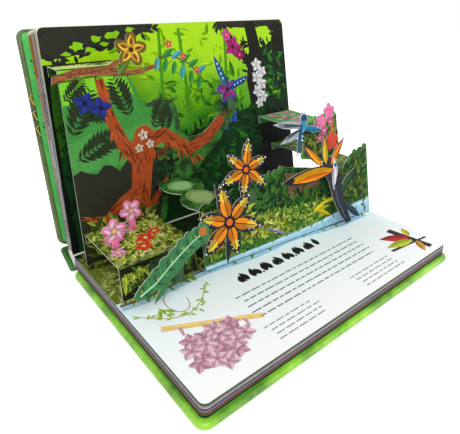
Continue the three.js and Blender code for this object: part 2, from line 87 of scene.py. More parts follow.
def riser_plane(offset, slant=0.0, out=0.0):
    place = Matrix.Translation(GUTTER + Vector((0, -offset, 0)))
    turn = Matrix.Rotation(math.radians(-slant), 4, "Z")
    lean = Matrix.Rotation(math.radians(90 - PAGE_LEAN), 4, "X")
    return place @ turn @ lean @ Matrix.Translation((0, 0, out + INK))


def floor_plane(height):
    return Matrix.Translation(GUTTER + Vector((0, 0, height + INK)))


def step_height(height):
    return height * math.cos(math.radians(PAGE_LEAN)) + CARD


print("a step of 177 mm stands", round(step_height(TREE_HEIGHT), 1), "mm above the page")

# %% [markdown]
# ## Camera
# The photo was taken from the left front, a little above the book. The lens and the
# shift were worked out from the corners of the pages, so the picture matches the photo.
# %% Camera
CAMERA_PLACE = GUTTER + Vector((-124.7, -393.0, 242.4))
AZIMUTH = math.radians(40.81)
ELEVATION = math.radians(16.48)
ROLL = math.radians(1.08)
FOCAL_PX = 458.86
WIDTH_PX = 460
HEIGHT_PX = 434
CENTRE_PX = (247.87, 126.61)

forward = Vector((
    math.sin(AZIMUTH) * math.cos(ELEVATION),
    math.cos(AZIMUTH) * math.cos(ELEVATION),
    -math.sin(ELEVATION),
))
right = Vector((math.cos(AZIMUTH), -math.sin(AZIMUTH), 0))
up = right.cross(forward)
rolled_right = right * math.cos(ROLL) + up * math.sin(ROLL)
rolled_up = rolled_right.cross(forward)

camera_data = bpy.data.cameras.new("camera")
camera = bpy.data.objects.new("camera", camera_data)
bpy.context.scene.collection.objects.link(camera)
bpy.context.scene.camera = camera
turned = Matrix((rolled_right, rolled_up, -forward)).transposed().to_4x4()
camera.matrix_world = Matrix.Translation(CAMERA_PLACE * MM) @ turned
camera_data.sensor_width = 36
camera_data.lens = FOCAL_PX / WIDTH_PX * camera_data.sensor_width
camera_data.shift_x = (WIDTH_PX / 2 - CENTRE_PX[0]) / WIDTH_PX
camera_data.shift_y = (CENTRE_PX[1] - HEIGHT_PX / 2) / WIDTH_PX
camera_data.clip_start = 0.01
print("lens", round(camera_data.lens, 1), "mm")

# %% [markdown]
# ## Colour and node helpers
# Colours are written as a designer picks them, in sRGB hex, and turned to the linear
# values that a renderer works in. One helper adds a node with its settings and links.
# %% Helpers
def linear(hex_colour):
    values = [int(hex_colour[i:i + 2], 16) / 255 for i in (1, 3, 5)]
    out = [v / 12.92 if v <= 0.04045 else ((v + 0.055) / 1.055) ** 2.4 for v in values]
    return (*out, 1.0)


def add(tree, kind, settings=None, inputs=None):
    node = tree.nodes.new(kind)
    for name, value in (settings or {}).items():
        setattr(node, name, value)
    for name, value in (inputs or {}).items():
        if isinstance(value, bpy.types.NodeSocket):
            tree.links.new(value, node.inputs[name])
        else:
            node.inputs[name].default_value = value
    return node


def new_material(name, values):
    material = bpy.data.materials.new(name)
    material.use_nodes = True
    tree = material.node_tree
    shader = tree.nodes["Principled BSDF"]
    for key, value in values.items():
        shader.inputs[key].default_value = value
    return material, tree, shader


def ramp(tree, factor, stops):
    node = add(tree, "ShaderNodeValToRGB", inputs={"Fac": factor})
    elements = node.color_ramp.elements
    while len(elements) < len(stops):
        elements.new(0.5)
    for element, (position, colour) in zip(elements, stops):
        element.position = position
        element.color = linear(colour)
    return node.outputs["Color"]


print("middle grey in linear light:", round(linear("#808080")[0], 3))

# %% [markdown]
# ## Table, backdrop and light
# The photo is a cut-out on white. The table is a plain pale sheet that the camera sees
# as white, and that still keeps the book's soft shadow. Large soft lamps light the book
# at a plain level.
# %% Table and light
def seen_directly(tree):
    path = add(tree, "ShaderNodeLightPath")
    seen = add(tree, "ShaderNodeMath", {"operation": "MAXIMUM"}, {
        0: path.outputs["Is Camera Ray"],
        1: path.outputs["Is Glossy Ray"],
    })
    return seen.outputs[0]


table_material, tree, shader = new_material("pale_table", {
    "Base Color": linear("#F4F4F4"),
    "Roughness": 0.9,
})
glow = add(tree, "ShaderNodeEmission", inputs={"Color": (1, 1, 1, 1), "Strength": 0.55})
glow_mix = add(tree, "ShaderNodeAddShader", inputs={0: shader.outputs[0], 1: glow.outputs[0]})
shown = add(tree, "ShaderNodeMixShader", inputs={
    0: seen_directly(tree),
    1: shader.outputs[0],
    2: glow_mix.outputs[0],
})
tree.links.new(shown.outputs[0], tree.nodes["Material Output"].inputs["Surface"])

FLOOR_SIZE = 6.0
FLOOR_DROP = 0.0002
floor_mesh = bpy.data.meshes.new("table")
half = FLOOR_SIZE / 2
floor_mesh.from_pydata(
    [(-half, -half, 0), (half, -half, 0), (half, half, 0), (-half, half, 0)],
    [],
    [(0, 1, 2, 3)],
)
floor = bpy.data.objects.new("table", floor_mesh)
bpy.context.scene.collection.objects.link(floor)
floor_mesh.materials.append(table_material)
floor.location.z = -FLOOR_DROP
floor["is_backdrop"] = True

world = bpy.data.worlds.new("studio")
bpy.context.scene.world = world
world.use_nodes = True
tree = world.node_tree
back = tree.nodes["Background"]
back.inputs["Color"].default_value = (1, 1, 1, 1)
back.inputs["Strength"].default_value = 0.55
bright = add(tree, "ShaderNodeBackground", inputs={"Color": (1, 1, 1, 1), "Strength": 1.0})
shown = add(tree, "ShaderNodeMixShader", inputs={
    0: seen_directly(tree),
    1: back.outputs[0],
    2: bright.outputs[0],
})
tree.links.new(shown.outputs[0], tree.nodes["World Output"].inputs["Surface"])


def soft_lamp(name, place, target, size, power):
    data = bpy.data.lights.new(name, "AREA")
    data.size = size
    data.energy = power
    lamp = bpy.data.objects.new(name, data)
    bpy.context.scene.collection.objects.link(lamp)
    lamp.location = place
    lamp.rotation_euler = (Vector(target) - Vector(place)).to_track_quat("-Z", "Y").to_euler()


MIDDLE = (0, 0, 0.1)
soft_lamp("key", (-0.9, -1.1, 1.5), MIDDLE, 1.2, 16)
soft_lamp("fill", (1.2, -0.9, 1.0), MIDDLE, 1.4, 8)
soft_lamp("back", (0.2, 1.4, 1.3), MIDDLE, 1.2, 8)
bpy.context.scene.view_settings.view_transform = "Standard"
print("lamps:", len(bpy.data.lights))

# %% [markdown]
# ## Printed coated card
# The stage is coated card, printed on both sides and then die-cut, so every cut shows
# the white core. The print is told from the cut by which way the surface faces: a face
# looks along the normal of its plane, a cut lies across it. The print under the drawn
# leaves is a mottle of foliage tones.
# %% Coated card material
LEAN = math.radians(PAGE_LEAN)
FACINGS = [(0, -math.cos(LEAN), math.sin(LEAN)), (0, 0, 1)]
FACE_LIMIT = 0.9925
INK_IOR = 1.3
CORE = "#F3F2EA"


def face_mask(tree):
    normal = add(tree, "ShaderNodeTexCoord").outputs["Normal"]
    mask = 0.0
    for facing in FACINGS:
        dot = add(tree, "ShaderNodeVectorMath", {"operation": "DOT_PRODUCT"}, {
            0: normal,
            1: facing,
        })
        size = add(tree, "ShaderNodeMath", {"operation": "ABSOLUTE"}, {0: dot.outputs["Value"]})
        flat = add(tree, "ShaderNodeMath", {"operation": "GREATER_THAN"}, {
            0: size.outputs[0],
            1: FACE_LIMIT,
        })
        both = add(tree, "ShaderNodeMath", {"operation": "MAXIMUM"}, {0: mask, 1: flat.outputs[0]})
        mask = both.outputs[0]
    return mask


def mottle(tree, size_mm, detail=3.0):
    place = add(tree, "ShaderNodeTexCoord").outputs["Object"]
    noise = add(tree, "ShaderNodeTexNoise", inputs={
        "Vector": place,
        "Scale": 1000 / size_mm,
        "Detail": detail,
        "Roughness": 0.6,
    })
    return noise.outputs["Fac"]


def mottled_tones(tree, tones, size_mm):
    stops = [(0.3 + 0.4 * i / (len(tones) - 1), tone) for i, tone in enumerate(tones)]
    return ramp(tree, mottle(tree, size_mm), stops)


def uneven(tree, shader, size_mm, strength, distance):
    bump = add(tree, "ShaderNodeBump", inputs={
        "Height": mottle(tree, size_mm),
        "Strength": strength,
        "Distance": distance,
    })
    tree.links.new(bump.outputs[0], shader.inputs["Normal"])


def coated_card(name, tones, size_mm):
    material, tree, shader = new_material(name, {"Roughness": 0.42, "IOR": INK_IOR})
    printed = mottled_tones(tree, tones, size_mm)
    fibre = ramp(tree, mottle(tree, 0.4), [(0.35, CORE), (0.7, "#DEDCD0")])
    mix = add(tree, "ShaderNodeMix", {"data_type": "RGBA"}, {
        "Factor": face_mask(tree),
        "A": fibre,
        "B": printed,
    })
    tree.links.new(mix.outputs["Result"], shader.inputs["Base Color"])
    uneven(tree, shader, 0.6, 0.08, 0.0002)
    return material


def printed_ink():
    material, tree, shader = new_material("offset_ink_on_coated_card", {
        "Roughness": 0.6,
        "IOR": INK_IOR,
        "Specular IOR Level": 0.3,
    })
    ink = add(tree, "ShaderNodeAttribute", {"attribute_name": "ink"}).outputs["Color"]
    shade = ramp(tree, mottle(tree, 5.0), [(0.3, "#D2D2D2"), (0.62, "#FFFFFF")])
    mix = add(tree, "ShaderNodeMix", {"data_type": "RGBA", "blend_type": "MULTIPLY"}, {
        "Factor": 0.55,
        "A": ink,
        "B": shade,
    })
    tree.links.new(mix.outputs["Result"], shader.inputs["Base Color"])
    return material


ink_material = printed_ink()


def dress(node_name, material):
    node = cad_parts[node_name]
    if node.material_slots:
        for item in node.material_slots:
            item.material = material
    else:
        node.data.materials.append(material)


print("ink material:", ink_material.name)

# %% [markdown]
# ## A sheet of artwork
# A sheet gathers flat shapes in millimetres on its own plane. Each layer of shapes lies
# two hundredths of a millimetre over the last, and the shapes of one layer differ by far
# less, so that nothing flickers where they overlap. Every shape carries its colour as a
# mesh attribute. At the end the sheet becomes one mesh.
# %% Sheet of flat shapes
LAYER = 0.02
FINE = 0.0005
FINE_STEPS = 37


class Sheet:
    def __init__(self, name, plane, seed):
        self.name = name
        self.plane = plane
        self.random = random.Random(seed)
        self.points = []
        self.faces = []
        self.inks = []

    def height(self, layer):
        return layer * LAYER + len(self.faces) % FINE_STEPS * FINE

    def shape(self, outline, colour, layer=0):
        first = len(self.points)
        up = self.height(layer)
        self.points += [(x, y, up) for x, y in outline]
        self.faces.append(tuple(range(first, len(self.points))))
        self.inks.append(linear(colour))

    def fan(self, centre, outline, colour, layer=0):
        first = len(self.points)
        up = self.height(layer)
        self.points.append((*centre, up))
        self.points += [(x, y, up) for x, y in outline]
        count = len(outline)
        for i in range(count):
            self.faces.append((first, first + 1 + i, first + 1 + (i + 1) % count))
            self.inks.append(linear(colour))

    def wall(self, path, low, high, colour):
        for (x0, y0), (x1, y1) in zip(path, path[1:]):
            first = len(self.points)
            self.points += [(x0, y0, low), (x1, y1, low), (x1, y1, high), (x0, y0, high)]
            self.faces.append(tuple(range(first, first + 4)))
            self.inks.append(linear(colour))

    def finish(self, body="book"):
        mesh = bpy.data.meshes.new(self.name)
        placed = []
        faces = []
        for face in self.faces:
            faces.append(range(len(placed), len(placed) + len(face)))
            placed += [(self.plane @ Vector(self.points[i])) * MM for i in face]
        mesh.from_pydata(placed, [], faces)
        inks = mesh.color_attributes.new("ink", "FLOAT_COLOR", "CORNER")
        values = []
        for face, ink in zip(self.faces, self.inks):
            values += list(ink) * len(face)
        inks.data.foreach_set("color", values)
        mesh.materials.append(ink_material)
        piece = bpy.data.objects.new(self.name, mesh)
        bpy.context.scene.collection.objects.link(piece)
        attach(piece, body)
        print(self.name, len(self.faces), "shapes")


print("layers lie", LAYER, "mm apart")

# %% [markdown]
# ## Motifs
# The jungle is drawn with a few motifs: a pointed leaf in two tones, a fern-like frond, a
# tapering stroke for stems, a round blot, and a blossom with a round heart. Each one is a
# formula with a place, a size and an angle.
# %% Motifs
def polar(x, y, angle, length):
    return (x + length * math.cos(math.radians(angle)), y + length * math.sin(math.radians(angle)))


def tint(colour, factor):
    values = [int(colour[i:i + 2], 16) for i in (1, 3, 5)]
    return "#" + "".join(f"{max(0, min(255, round(v * factor))):02X}" for v in values)


def leaf(sheet, x, y, angle, length, width, colour, layer=0):
    steps = 5
    tip = polar(x, y, angle, length)
    for side, factor in ((1, 1.0), (-1, 0.78)):
        outline = [(x, y)]
        for i in range(1, steps):
            share = i / steps
            spine = polar(x, y, angle, length * share)
            reach = side * width / 2 * math.sin(math.pi * share ** 0.8)
            outline.append(polar(*spine, angle + 90, reach))
        outline.append(tip)
        if side > 0:
            outline.reverse()
        sheet.shape(outline, tint(colour, factor), layer)


def leaves(sheet, x, y, rows):
    for dx, dy, angle, length, width, colour, layer in rows:
        leaf(sheet, x + dx, y + dy, angle, length, width, colour, layer)


def frond(sheet, x, y, angle, length, leaflets, colour, layer=0, spread=55):
    for i in range(leaflets):
        share = (i + 0.5) / leaflets
        base = polar(x, y, angle, length * share)
        size = length * 0.42 * math.sin(math.pi * (0.15 + 0.8 * share))
        for side in (-1, 1):
            leaf(sheet, *base, angle + side * spread, size, size * 0.28, colour, layer)
    stroke(sheet, [(x, y), polar(x, y, angle, length)], 0.7, 0.3, colour, layer)


def stroke(sheet, points, width, end_width, colour, layer=0):
    left = []
    right_side = []
    last = len(points) - 1
    for i, (x, y) in enumerate(points):
        before = points[max(i - 1, 0)]
        after = points[min(i + 1, last)]
        angle = math.degrees(math.atan2(after[1] - before[1], after[0] - before[0]))
        reach = (width + (end_width - width) * i / last) / 2
        left.append(polar(x, y, angle + 90, reach))
        right_side.append(polar(x, y, angle - 90, reach))
    for i in range(last):
        outline = [right_side[i], right_side[i + 1], left[i + 1], left[i]]
        sheet.shape(outline, colour, layer)


def blot(sheet, x, y, radius, colour, layer=0, squash=1.0, rough=0.0, steps=14):
    outline = []
    for i in range(steps):
        reach = radius * (1 + rough * sheet.random.uniform(-1, 1))
        angle = 2 * math.pi * i / steps
        outline.append((x + reach * math.cos(angle), y + squash * reach * math.sin(angle)))
    sheet.fan((x, y), outline, colour, layer)


def blossom(sheet, x, y, radius, count, turn, colour, heart, layer=0):
    for i in range(count):
        angle = turn + 360 * i / count
        leaf(sheet, x, y, angle, radius, radius * 0.75, colour, layer)
    blot(sheet, x, y, radius * 0.2, heart, layer + 1, steps=8)


def foliage(sheet, box, count, length, colours, layer=0, upward=90, scatter=70):
    left, bottom, right_edge, top = box
    for _ in range(count):
        x = sheet.random.uniform(left, right_edge)
        y = sheet.random.uniform(bottom, top)
        size = length * sheet.random.uniform(0.6, 1.2)
        angle = upward + sheet.random.uniform(-scatter, scatter)
        colour = tint(sheet.random.choice(colours), sheet.random.uniform(0.85, 1.12))
        leaf(sheet, x, y, angle, size, size * 0.34, colour, layer)


print("motifs ready")

# %% [markdown]
# ## Laminated cover
# The case is board and foam under printed paper with a gloss film. The film gives a
# clear coat; below it the green print is a soft mottle, darker on the front and spine.
# %% Cover and paper materials
def paper(name, tones, size_mm, roughness=0.6):
    material, tree, shader = new_material(name, {"Roughness": roughness, "IOR": 1.5})
    tree.links.new(mottled_tones(tree, tones, size_mm), shader.inputs["Base Color"])
    return material


def laminated(name, tones, size_mm):
    material = paper(name, tones, size_mm, 0.38)
    tree = material.node_tree
    shader = tree.nodes["Principled BSDF"]
    shader.inputs["Coat Weight"].default_value = 0.3
    shader.inputs["Coat Roughness"].default_value = 0.2
    uneven(tree, shader, 9.0, 0.12, 0.0008)
    return material


cover_film = laminated("gloss_laminated_cover_paper", ["#3F7A10", "#86C820", "#A6E63A"], 30)
FRONT_TONES = ["#1E3210", "#44561A", "#5A6E24", "#2E5A2A"]
front_film = laminated("gloss_laminated_front_paper", FRONT_TONES, 40)
spine_film = laminated("gloss_laminated_spine_paper", ["#174A10", "#256B19", "#2F7F1E"], 22)
lining = paper("printed_lining_paper", ["#3FB850", "#53C45E", "#66D070"], 14)
print("cover films:", len(bpy.data.materials))

# %% [markdown]
# The leaves are doubled card with a cream-white core. Each card of the stage has the
# tones of what is printed on it. The nodes that no table names are the struts, which are
# dark green.
# %% Leaves and stage cards
CARDS = (
    ("tree_panel_card", ["#14240F", "#24451A", "#3E7A2A", "#2C5A20"], 16, ["tree_stage"]),
    ("river_bank_card", ["#0E2410", "#1F4A1A", "#3C7A28", "#16351A"], 9, ["river_bank"]),
    ("left_bank_card", ["#1A2412", "#46591F", "#8C9A36", "#C6CE55"], 7, ["left_bank"]),
    ("flower_ledge_card", ["#2E6E3A", "#4F9E54", "#6DBA66"], 12, ["flower_ledge"]),
    ("bough_card", ["#5E2E18", "#8A4B2A", "#A5673C"], 3, ["bough"]),
    ("lily_card", ["#16161C", "#22222A"], 5, ["lily_high", "lily_low"]),
    ("crane_flower_card", ["#14171F", "#1E232E"], 5, ["crane_flower"]),
    ("fern_card", ["#245A35", "#3E7D4B", "#2E6C40"], 5, ["fern_frond"]),
    ("dragonfly_card", ["#8E99A2", "#C5CDD2"], 4, ["dragonfly"]),
    ("pink_blossom_card", ["#E05A96", "#F58FBC"], 5,
     ["pink_spray", "pink_blossom_left", "pink_blossom_right"]),
    ("red_blossom_card", ["#D23312", "#F0532A"], 5, ["red_blossom"]),
    ("night_blossom_card", ["#1F2F5E", "#2E4A86"], 5, ["night_blossom"]),
    ("gold_blossom_card", ["#5A4416", "#7A5F1E"], 4, ["gold_blossom"]),
)
finishes = {
    "page_block": paper("doubled_leaf_card", ["#E6E2D6", "#F4F2EA"], 3),
    "front_endpaper": lining,
    "back_endpaper": lining,
    "back_cover": cover_film,
    "front_cover": front_film,
    "spine_board": spine_film,
}
for name, tones, size_mm, node_names in CARDS:
    finishes.update(dict.fromkeys(node_names, coated_card(name, tones, size_mm)))
strut_card = paper("printed_strut_card", ["#12301A", "#1F4A20", "#2E6428"], 6, 0.5)
for node_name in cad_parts:
    dress(node_name, finishes.get(node_name, strut_card))
print("dressed nodes:", len(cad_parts))

# %% [markdown]
# ## The standing page
# Behind the stage stands a page of lime light and charcoal jungle. Its ground is a
# gradient, lime at the top and deep green at the gutter. Over it lie far foliage, then
# dark trunks and canopy, then blossoms.
# %% Standing page
def rounded_outline(width, low, high, corner):
    outline = [(0, low), (width, low)]
    for centre, start in (((width - corner, high - corner), 0), ((corner, high - corner), 90)):
        for i in range(5):
            outline.append(polar(*centre, start + 22.5 * i, corner))
    return outline


def ground_print(name, stops, axis, low_mm, high_mm, size_mm=40.0, strength=0.12):
    material, tree, shader = new_material(name, {"Roughness": 0.5, "IOR": INK_IOR})
    place = add(tree, "ShaderNodeTexCoord").outputs["Object"]
    split = add(tree, "ShaderNodeSeparateXYZ", inputs={0: place})
    share = add(tree, "ShaderNodeMapRange", inputs={
        "Value": split.outputs[axis],
        "From Min": low_mm * MM,
        "From Max": high_mm * MM,
    })
    drift = add(tree, "ShaderNodeMath", {"operation": "MULTIPLY_ADD"}, {
        0: mottle(tree, size_mm, 4.0),
        1: strength * 4,
        2: share.outputs[0],
    })
    shifted = add(tree, "ShaderNodeMath", {"operation": "SUBTRACT"}, {
        0: drift.outputs[0],
        1: strength * 2,
    })
    tree.links.new(ramp(tree, shifted.outputs[0], stops), shader.inputs["Base Color"])
    return material


def ground(name, plane, outline, material, body="book"):
    mesh = bpy.data.meshes.new(name)
    placed = [tuple((plane @ Vector((x, y, 0))) * MM) for x, y in outline]
    mesh.from_pydata(placed, [], [tuple(range(len(placed)))])
    mesh.materials.append(material)
    piece = bpy.data.objects.new(name, mesh)
    bpy.context.scene.collection.objects.link(piece)
    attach(piece, body)


lime_ground = ground_print(
    "lime_page_ink",
    [(0.0, "#0B2A10"), (0.25, "#14501A"), (0.5, "#2F8A1A"), (0.68, "#7CC400"), (0.85, "#A8DE05")],
    2,
    18,
    226,
)
standing_plane = riser_plane(0)
ground(
    "standing_ground",
    standing_plane,
    rounded_outline(PAGE_LENGTH, 1.0, PAGE_DEPTH - 0.4, PAGE_CORNER),
    lime_ground,
)

CHARCOAL = "#2A2B22"
standing = Sheet("standing_print", standing_plane, 11)
FAR = ["#4FA514", "#6CBB10", "#3C8C18", "#82CC08"]
foliage(standing, (100, 85, 225, 150), 130, 16, FAR, 1, 90, 150)
foliage(standing, (60, 150, 215, 205), 60, 13, ["#8CD000", "#B8EA18", "#7CC80A"], 1, 0, 180)
for x, lean in ((112, 4), (150, -3), (196, 5)):
    stroke(standing, [(x, 60), (x + lean, 130), (x + 2 * lean, 206)], 5, 3.5, "#4E9A12", 2)
print("far foliage:", len(standing.faces), "shapes")

# %% [markdown]
# The dark parts are solid silhouettes: a canopy in the top left corner, a trunk and its
# boughs at the right. The near-black patches below the flower ledge and under the top step
# are painted shadow, where the stage roofs the page.
# %% Silhouettes
DARK = "#17180F"


def canopy(sheet, outline, tips, length, colour, layer):
    sheet.shape(outline, colour, layer)
    count = len(outline)
    for i in range(count):
        x0, y0 = outline[i]
        x1, y1 = outline[(i + 1) % count]
        for k in range(tips):
            share = (k + sheet.random.random()) / tips
            angle = sheet.random.uniform(0, 360)
            place = (x0 + (x1 - x0) * share, y0 + (y1 - y0) * share)
            leaf(sheet, *place, angle, length, length * 0.4, colour, layer)


def inside(sheet, x_limits, y_limits, crest=lambda x: math.inf):
    kept = [(f, c) for f, c in zip(sheet.faces, sheet.inks) if all(
        x_limits[0] <= sheet.points[i][0] <= x_limits[1]
        and y_limits[0] <= sheet.points[i][1] <= y_limits[1]
        and sheet.points[i][1] <= crest(sheet.points[i][0])
        for i in f
    )]
    sheet.faces = [f for f, _ in kept]
    sheet.inks = [c for _, c in kept]


top_left = [
    (0.2, 184), (18, 183), (40, 187), (66, 190), (92, 200), (112, 206), (114, 211.5),
    (5, 211.5), (2, 210.2), (0.2, 207),
]
canopy(standing, top_left, 7, 9, CHARCOAL, 3)
for x, y, size in (
    (32, 193, 7), (22, 187, 5), (52, 199, 6), (44, 190, 5), (70, 202, 7), (60, 194, 5),
    (88, 207, 5),
):
    blot(standing, x, y, size, "#8FD010", 4, 0.5, 0.45, 11)
top_right = [(196, 206), (236, 203), (299.7, 205), (295, 211.5), (196, 211.5)]
canopy(standing, top_right, 6, 10, CHARCOAL, 3)
far_right = [(282, 150), (299.7, 150), (299.7, 206), (280, 206), (284, 186), (276, 168)]
canopy(standing, far_right, 9, 10, DARK, 3)
for y in (188, 176, 162, 150):
    foliage(standing, (232, y - 6, 292, y + 6), 16, 12, [CHARCOAL, DARK], 3, 180, 100)
thicket = [(256, 96), (299.4, 96), (299.4, 176), (286, 184), (268, 176), (256, 180)]
standing.shape(thicket, "#0F2A12", 3)
THICKET_TONES = ["#1F6A1E", "#2E8A22", "#143E18", "#0A1A0C"]
foliage(standing, (262, 108, 292, 172), 46, 13, THICKET_TONES, 4, 30, 160)
stroke(standing, [(248, 112), (243, 140), (250, 178), (244, 209)], 24, 16, DARK, 4)
stroke(standing, [(247, 150), (224, 176), (206, 206)], 9, 4, DARK, 4)
stroke(standing, [(250, 160), (274, 182), (296, 190)], 7, 3, DARK, 4)
stroke(standing, [(244, 128), (270, 140), (297, 143)], 5, 3, DARK, 4)
for y in (124, 138, 156, 172):
    foliage(standing, (266, y - 8, 294, y + 4), 9, 12, ["#5FAE12", "#86CC0A", "#2F6E1A"], 3, 20, 80)
low_bush = [
    (122, 2), (298, 2), (298, 97), (262, 100), (236, 108), (200, 104), (168, 96), (132, 88),
]
canopy(standing, low_bush, 9, 9, "#133A16", 3)
BUSH_TONES = ["#1D5A20", "#236B22", "#174A1C", "#2C7A2A"]
foliage(standing, (134, 20, 240, 98), 150, 13, BUSH_TONES, 4, 90, 160)
# Painted shadow: a near-black patch on the page under the flower ledge, where the ledge roofs it.
ledge_shadow = [
    (240, 2), (299.7, 2), (299.7, 94), (266, 97), (254, 92), (244, 80), (250, 62),
    (238, 46), (246, 24),
]
canopy(standing, ledge_shadow, 6, 9, "#040A06", 5)
foliage(standing, (224, 8, 246, 96), 80, 13, ["#10381A", "#174A1C", "#0B2A12"], 6, 40, 120)
standing.shape([(0.2, 2), (64, 2), (64, 100), (0.2, 96)], "#0B3A12", 3)
standing.shape([(0.2, 94), (64, 98), (64, 178.5), (0.2, 178.5)], "#2A5E0C", 3)
# Painted shadow: a near-black band on the page just under the top step, which roofs it.
under_step_shadow = [(0.2, 164), (4, 160), (9, 169), (64, 172), (64, 178.5), (0.2, 178.5)]
standing.shape(under_step_shadow, "#080D06", 4)
left_stem = [
    (0.2, 164), (4, 160), (2.6, 130), (3.6, 100), (3, 70), (7, 40), (7, 2), (0.2, 2),
]
standing.shape(left_stem, "#060A06", 4)
foliage(standing, (4, 20, 58, 120), 120, 13, ["#0F4A16", "#16601A", "#0A2410"], 5, 40, 120)
for x, y in ((2, 118), (4, 100), (30, 128)):
    frond(standing, x, y, 20, 16, 5, "#070C06", 6)
print("with silhouettes:", len(standing.faces), "shapes")

# %% [markdown]
# Flowers close to the reader are brighter: white orchids on the trunk, a leafy spray
# with coral buds, and magenta and blue blossoms.
# %% Flowers on the standing page
for i, (x, y, size) in enumerate((
    (250, 158, 9), (258, 149, 8), (249, 143, 9), (256, 134, 9), (249, 126, 9),
    (257, 118, 8), (250, 111, 7),
)):
    blossom(standing, x, y, size, 5, 18 + 25 * i, "#F4F4F6", "#D8A8C0", 6 if i % 2 else 7)
stroke(standing, [(114, 176), (132, 178), (152, 168), (168, 150)], 2.2, 1.2, "#6E4A2A", 5)
for i in range(11):
    x = 116 + 5 * i
    y = 178 - 0.045 * (x - 116) ** 1.62
    side = 1 if i % 2 else -1
    leaf(standing, x, y, -40 + 68 * side, 17, 6.5, "#3FA04A" if i % 3 else "#4FB8C4", 6)
for x, y, size in ((130, 190, 5), (146, 176, 4.5), (162, 160, 4.5)):
    blossom(standing, x, y, size, 5, 30, "#F0684E", "#FFD0B0", 7)
blossom(standing, 216, 182, 13, 5, 70, "#C2287E", "#3A1030", 6)
blossom(standing, 208, 196, 8, 5, 20, "#E0559C", "#FF7A4A", 8)
blossom(standing, 225, 172, 8, 5, 50, "#A81E6A", "#FF7A4A", 8)
for x, y, size in ((192, 92, 8), (206, 100, 9)):
    blossom(standing, x, y, size, 4, 40, "#3A72D8", "#16204A", 7)
inside(standing, (0.1, 299.8), (1.2, 211.55))
standing.finish()

# %% [markdown]
# ## The lying page
# The lying page is pale as mist. Dark undergrowth reaches to the river line, a branch
# runs along it, and below stand a row of leaf ornaments in place of a heading and broken
# rules in place of text.
# %% Lying page
mist_ground = ground_print(
    "mist_page_ink",
    [(0.0, "#FBFDFD"), (0.4, "#F6FDFE"), (0.7, "#F0FCFC"), (0.9, "#E4F7FA")],
    1,
    -101,
    20,
    60,
    0.05,
)
lying_plane = floor_plane(0)
flipped = [(x, -y) for x, y in rounded_outline(PAGE_LENGTH, 1.0, PAGE_DEPTH - 0.4, PAGE_CORNER)]
ground("lying_ground", lying_plane, flipped[::-1], mist_ground)

lying = Sheet("lying_print", lying_plane, 23)
PALE_MOSS = ["#C6CE6A", "#DDE08A", "#A8B84A", "#8A9A3A", "#5F7426"]
OLIVE_MOSS = ["#6E7A2A", "#8A8F3A", "#3A4218", "#A0A848", "#20260E"]


def river_line(x):
    return -91 - 0.022 * x - 0.00022 * x * x


edge = [(x, river_line(x)) for x in (0.3, *range(13, 299, 13))] + [(299.6, river_line(299))]
lying.shape(edge + [(299.6, -1.5), (0.3, -1.5)], "#16240F", 1)
lit_bank = [(x, y + 1) for x, y in edge if x < 96] + [(92, -30), (60, -16), (0.3, -12)]
lying.shape(lit_bank, "#6E7F2A", 2)
foliage(lying, (2, -88, 88, -40), 420, 11, PALE_MOSS, 3, -60, 110)
foliage(lying, (2, -44, 88, -6), 260, 10, OLIVE_MOSS, 3, 40, 110)
foliage(lying, (88, -88, 296, -6), 240, 14, ["#12301A", "#1C4A1E", "#274F1C"], 2, -60, 110)
foliage(lying, (2, -96, 84, -84), 60, 9, ["#D6E04A", "#A8C63A", "#6E9A2A"], 3, -90, 60)
branch = [(x, river_line(x) - 4 - 2 * math.sin(x / 17)) for x in range(2, 299, 11)]
stroke(lying, [(x, y - 2.5) for x, y in branch], 9, 10, "#A9D6EA", 2)
stroke(lying, branch, 2.6, 2.0, "#6E5F4E", 3)
for x, y in branch[::2]:
    leaf(lying, x, y, lying.random.uniform(-140, -40), 8, 3, "#6FA83A", 4)
vine = [(4 + 70 * i / 16, -112 - 24 * math.sin(math.pi * i / 16)) for i in range(17)]
stroke(lying, vine, 0.9, 0.8, "#C79A62", 2)
vine = [(40 + 9 * math.cos(i / 3), -118 - 14 * math.sin(i / 3)) for i in range(15)]
stroke(lying, vine, 0.8, 0.8, "#B98E58", 2)
for i in range(26):
    x = 6 + 2.7 * i
    y = -112 - 24 * math.sin(math.pi * (x - 4) / 70) + lying.random.uniform(-3, 3)
    leaf(lying, x, y, lying.random.uniform(0, 360), 6, 2.3, "#B5DC4A", 3)
print("undergrowth and vines:", len(lying.faces), "shapes")

# %% [markdown]
# The heading is a row of upright black leaves with small buds between, and the text is
# lines of grey dashes, each dash as long as a word.
# %% Heading ornaments and rules
HEADING_Y = -133
for i in range(15):
    x = 99 + 7.0 * i
    tall = 14 if i % 3 else 11
    leaf(lying, x, HEADING_Y, 90 + (10 if i % 2 else -10), tall, 6.4, "#1A1A1E", 3)
    if i % 3 == 0:
        blot(lying, x + 3.4, HEADING_Y + 1.4, 1.3, "#26262A", 3, steps=8)


def rules(sheet, left, right_end, top, lines, pitch, height, colour):
    for line in range(lines):
        x = left + sheet.random.uniform(0, 5)
        end = right_end - sheet.random.uniform(0, 9)
        y = top - line * pitch
        while x < end:
            word = sheet.random.uniform(4, 10)
            stop = min(x + word, end)
            sheet.shape([(x, y), (stop, y), (stop, y + height), (x, y + height)], colour, 3)
            x = stop + 1.7


rules(lying, 78, 236, -146, 5, 7.2, 1.4, "#7E8A90")
rules(lying, 74, 132, -186, 4, 5.2, 1.1, "#8E9AA0")
rules(lying, 176, 240, -188, 4, 5.2, 1.1, "#8E9AA0")
print("with heading and rules:", len(lying.faces), "shapes")

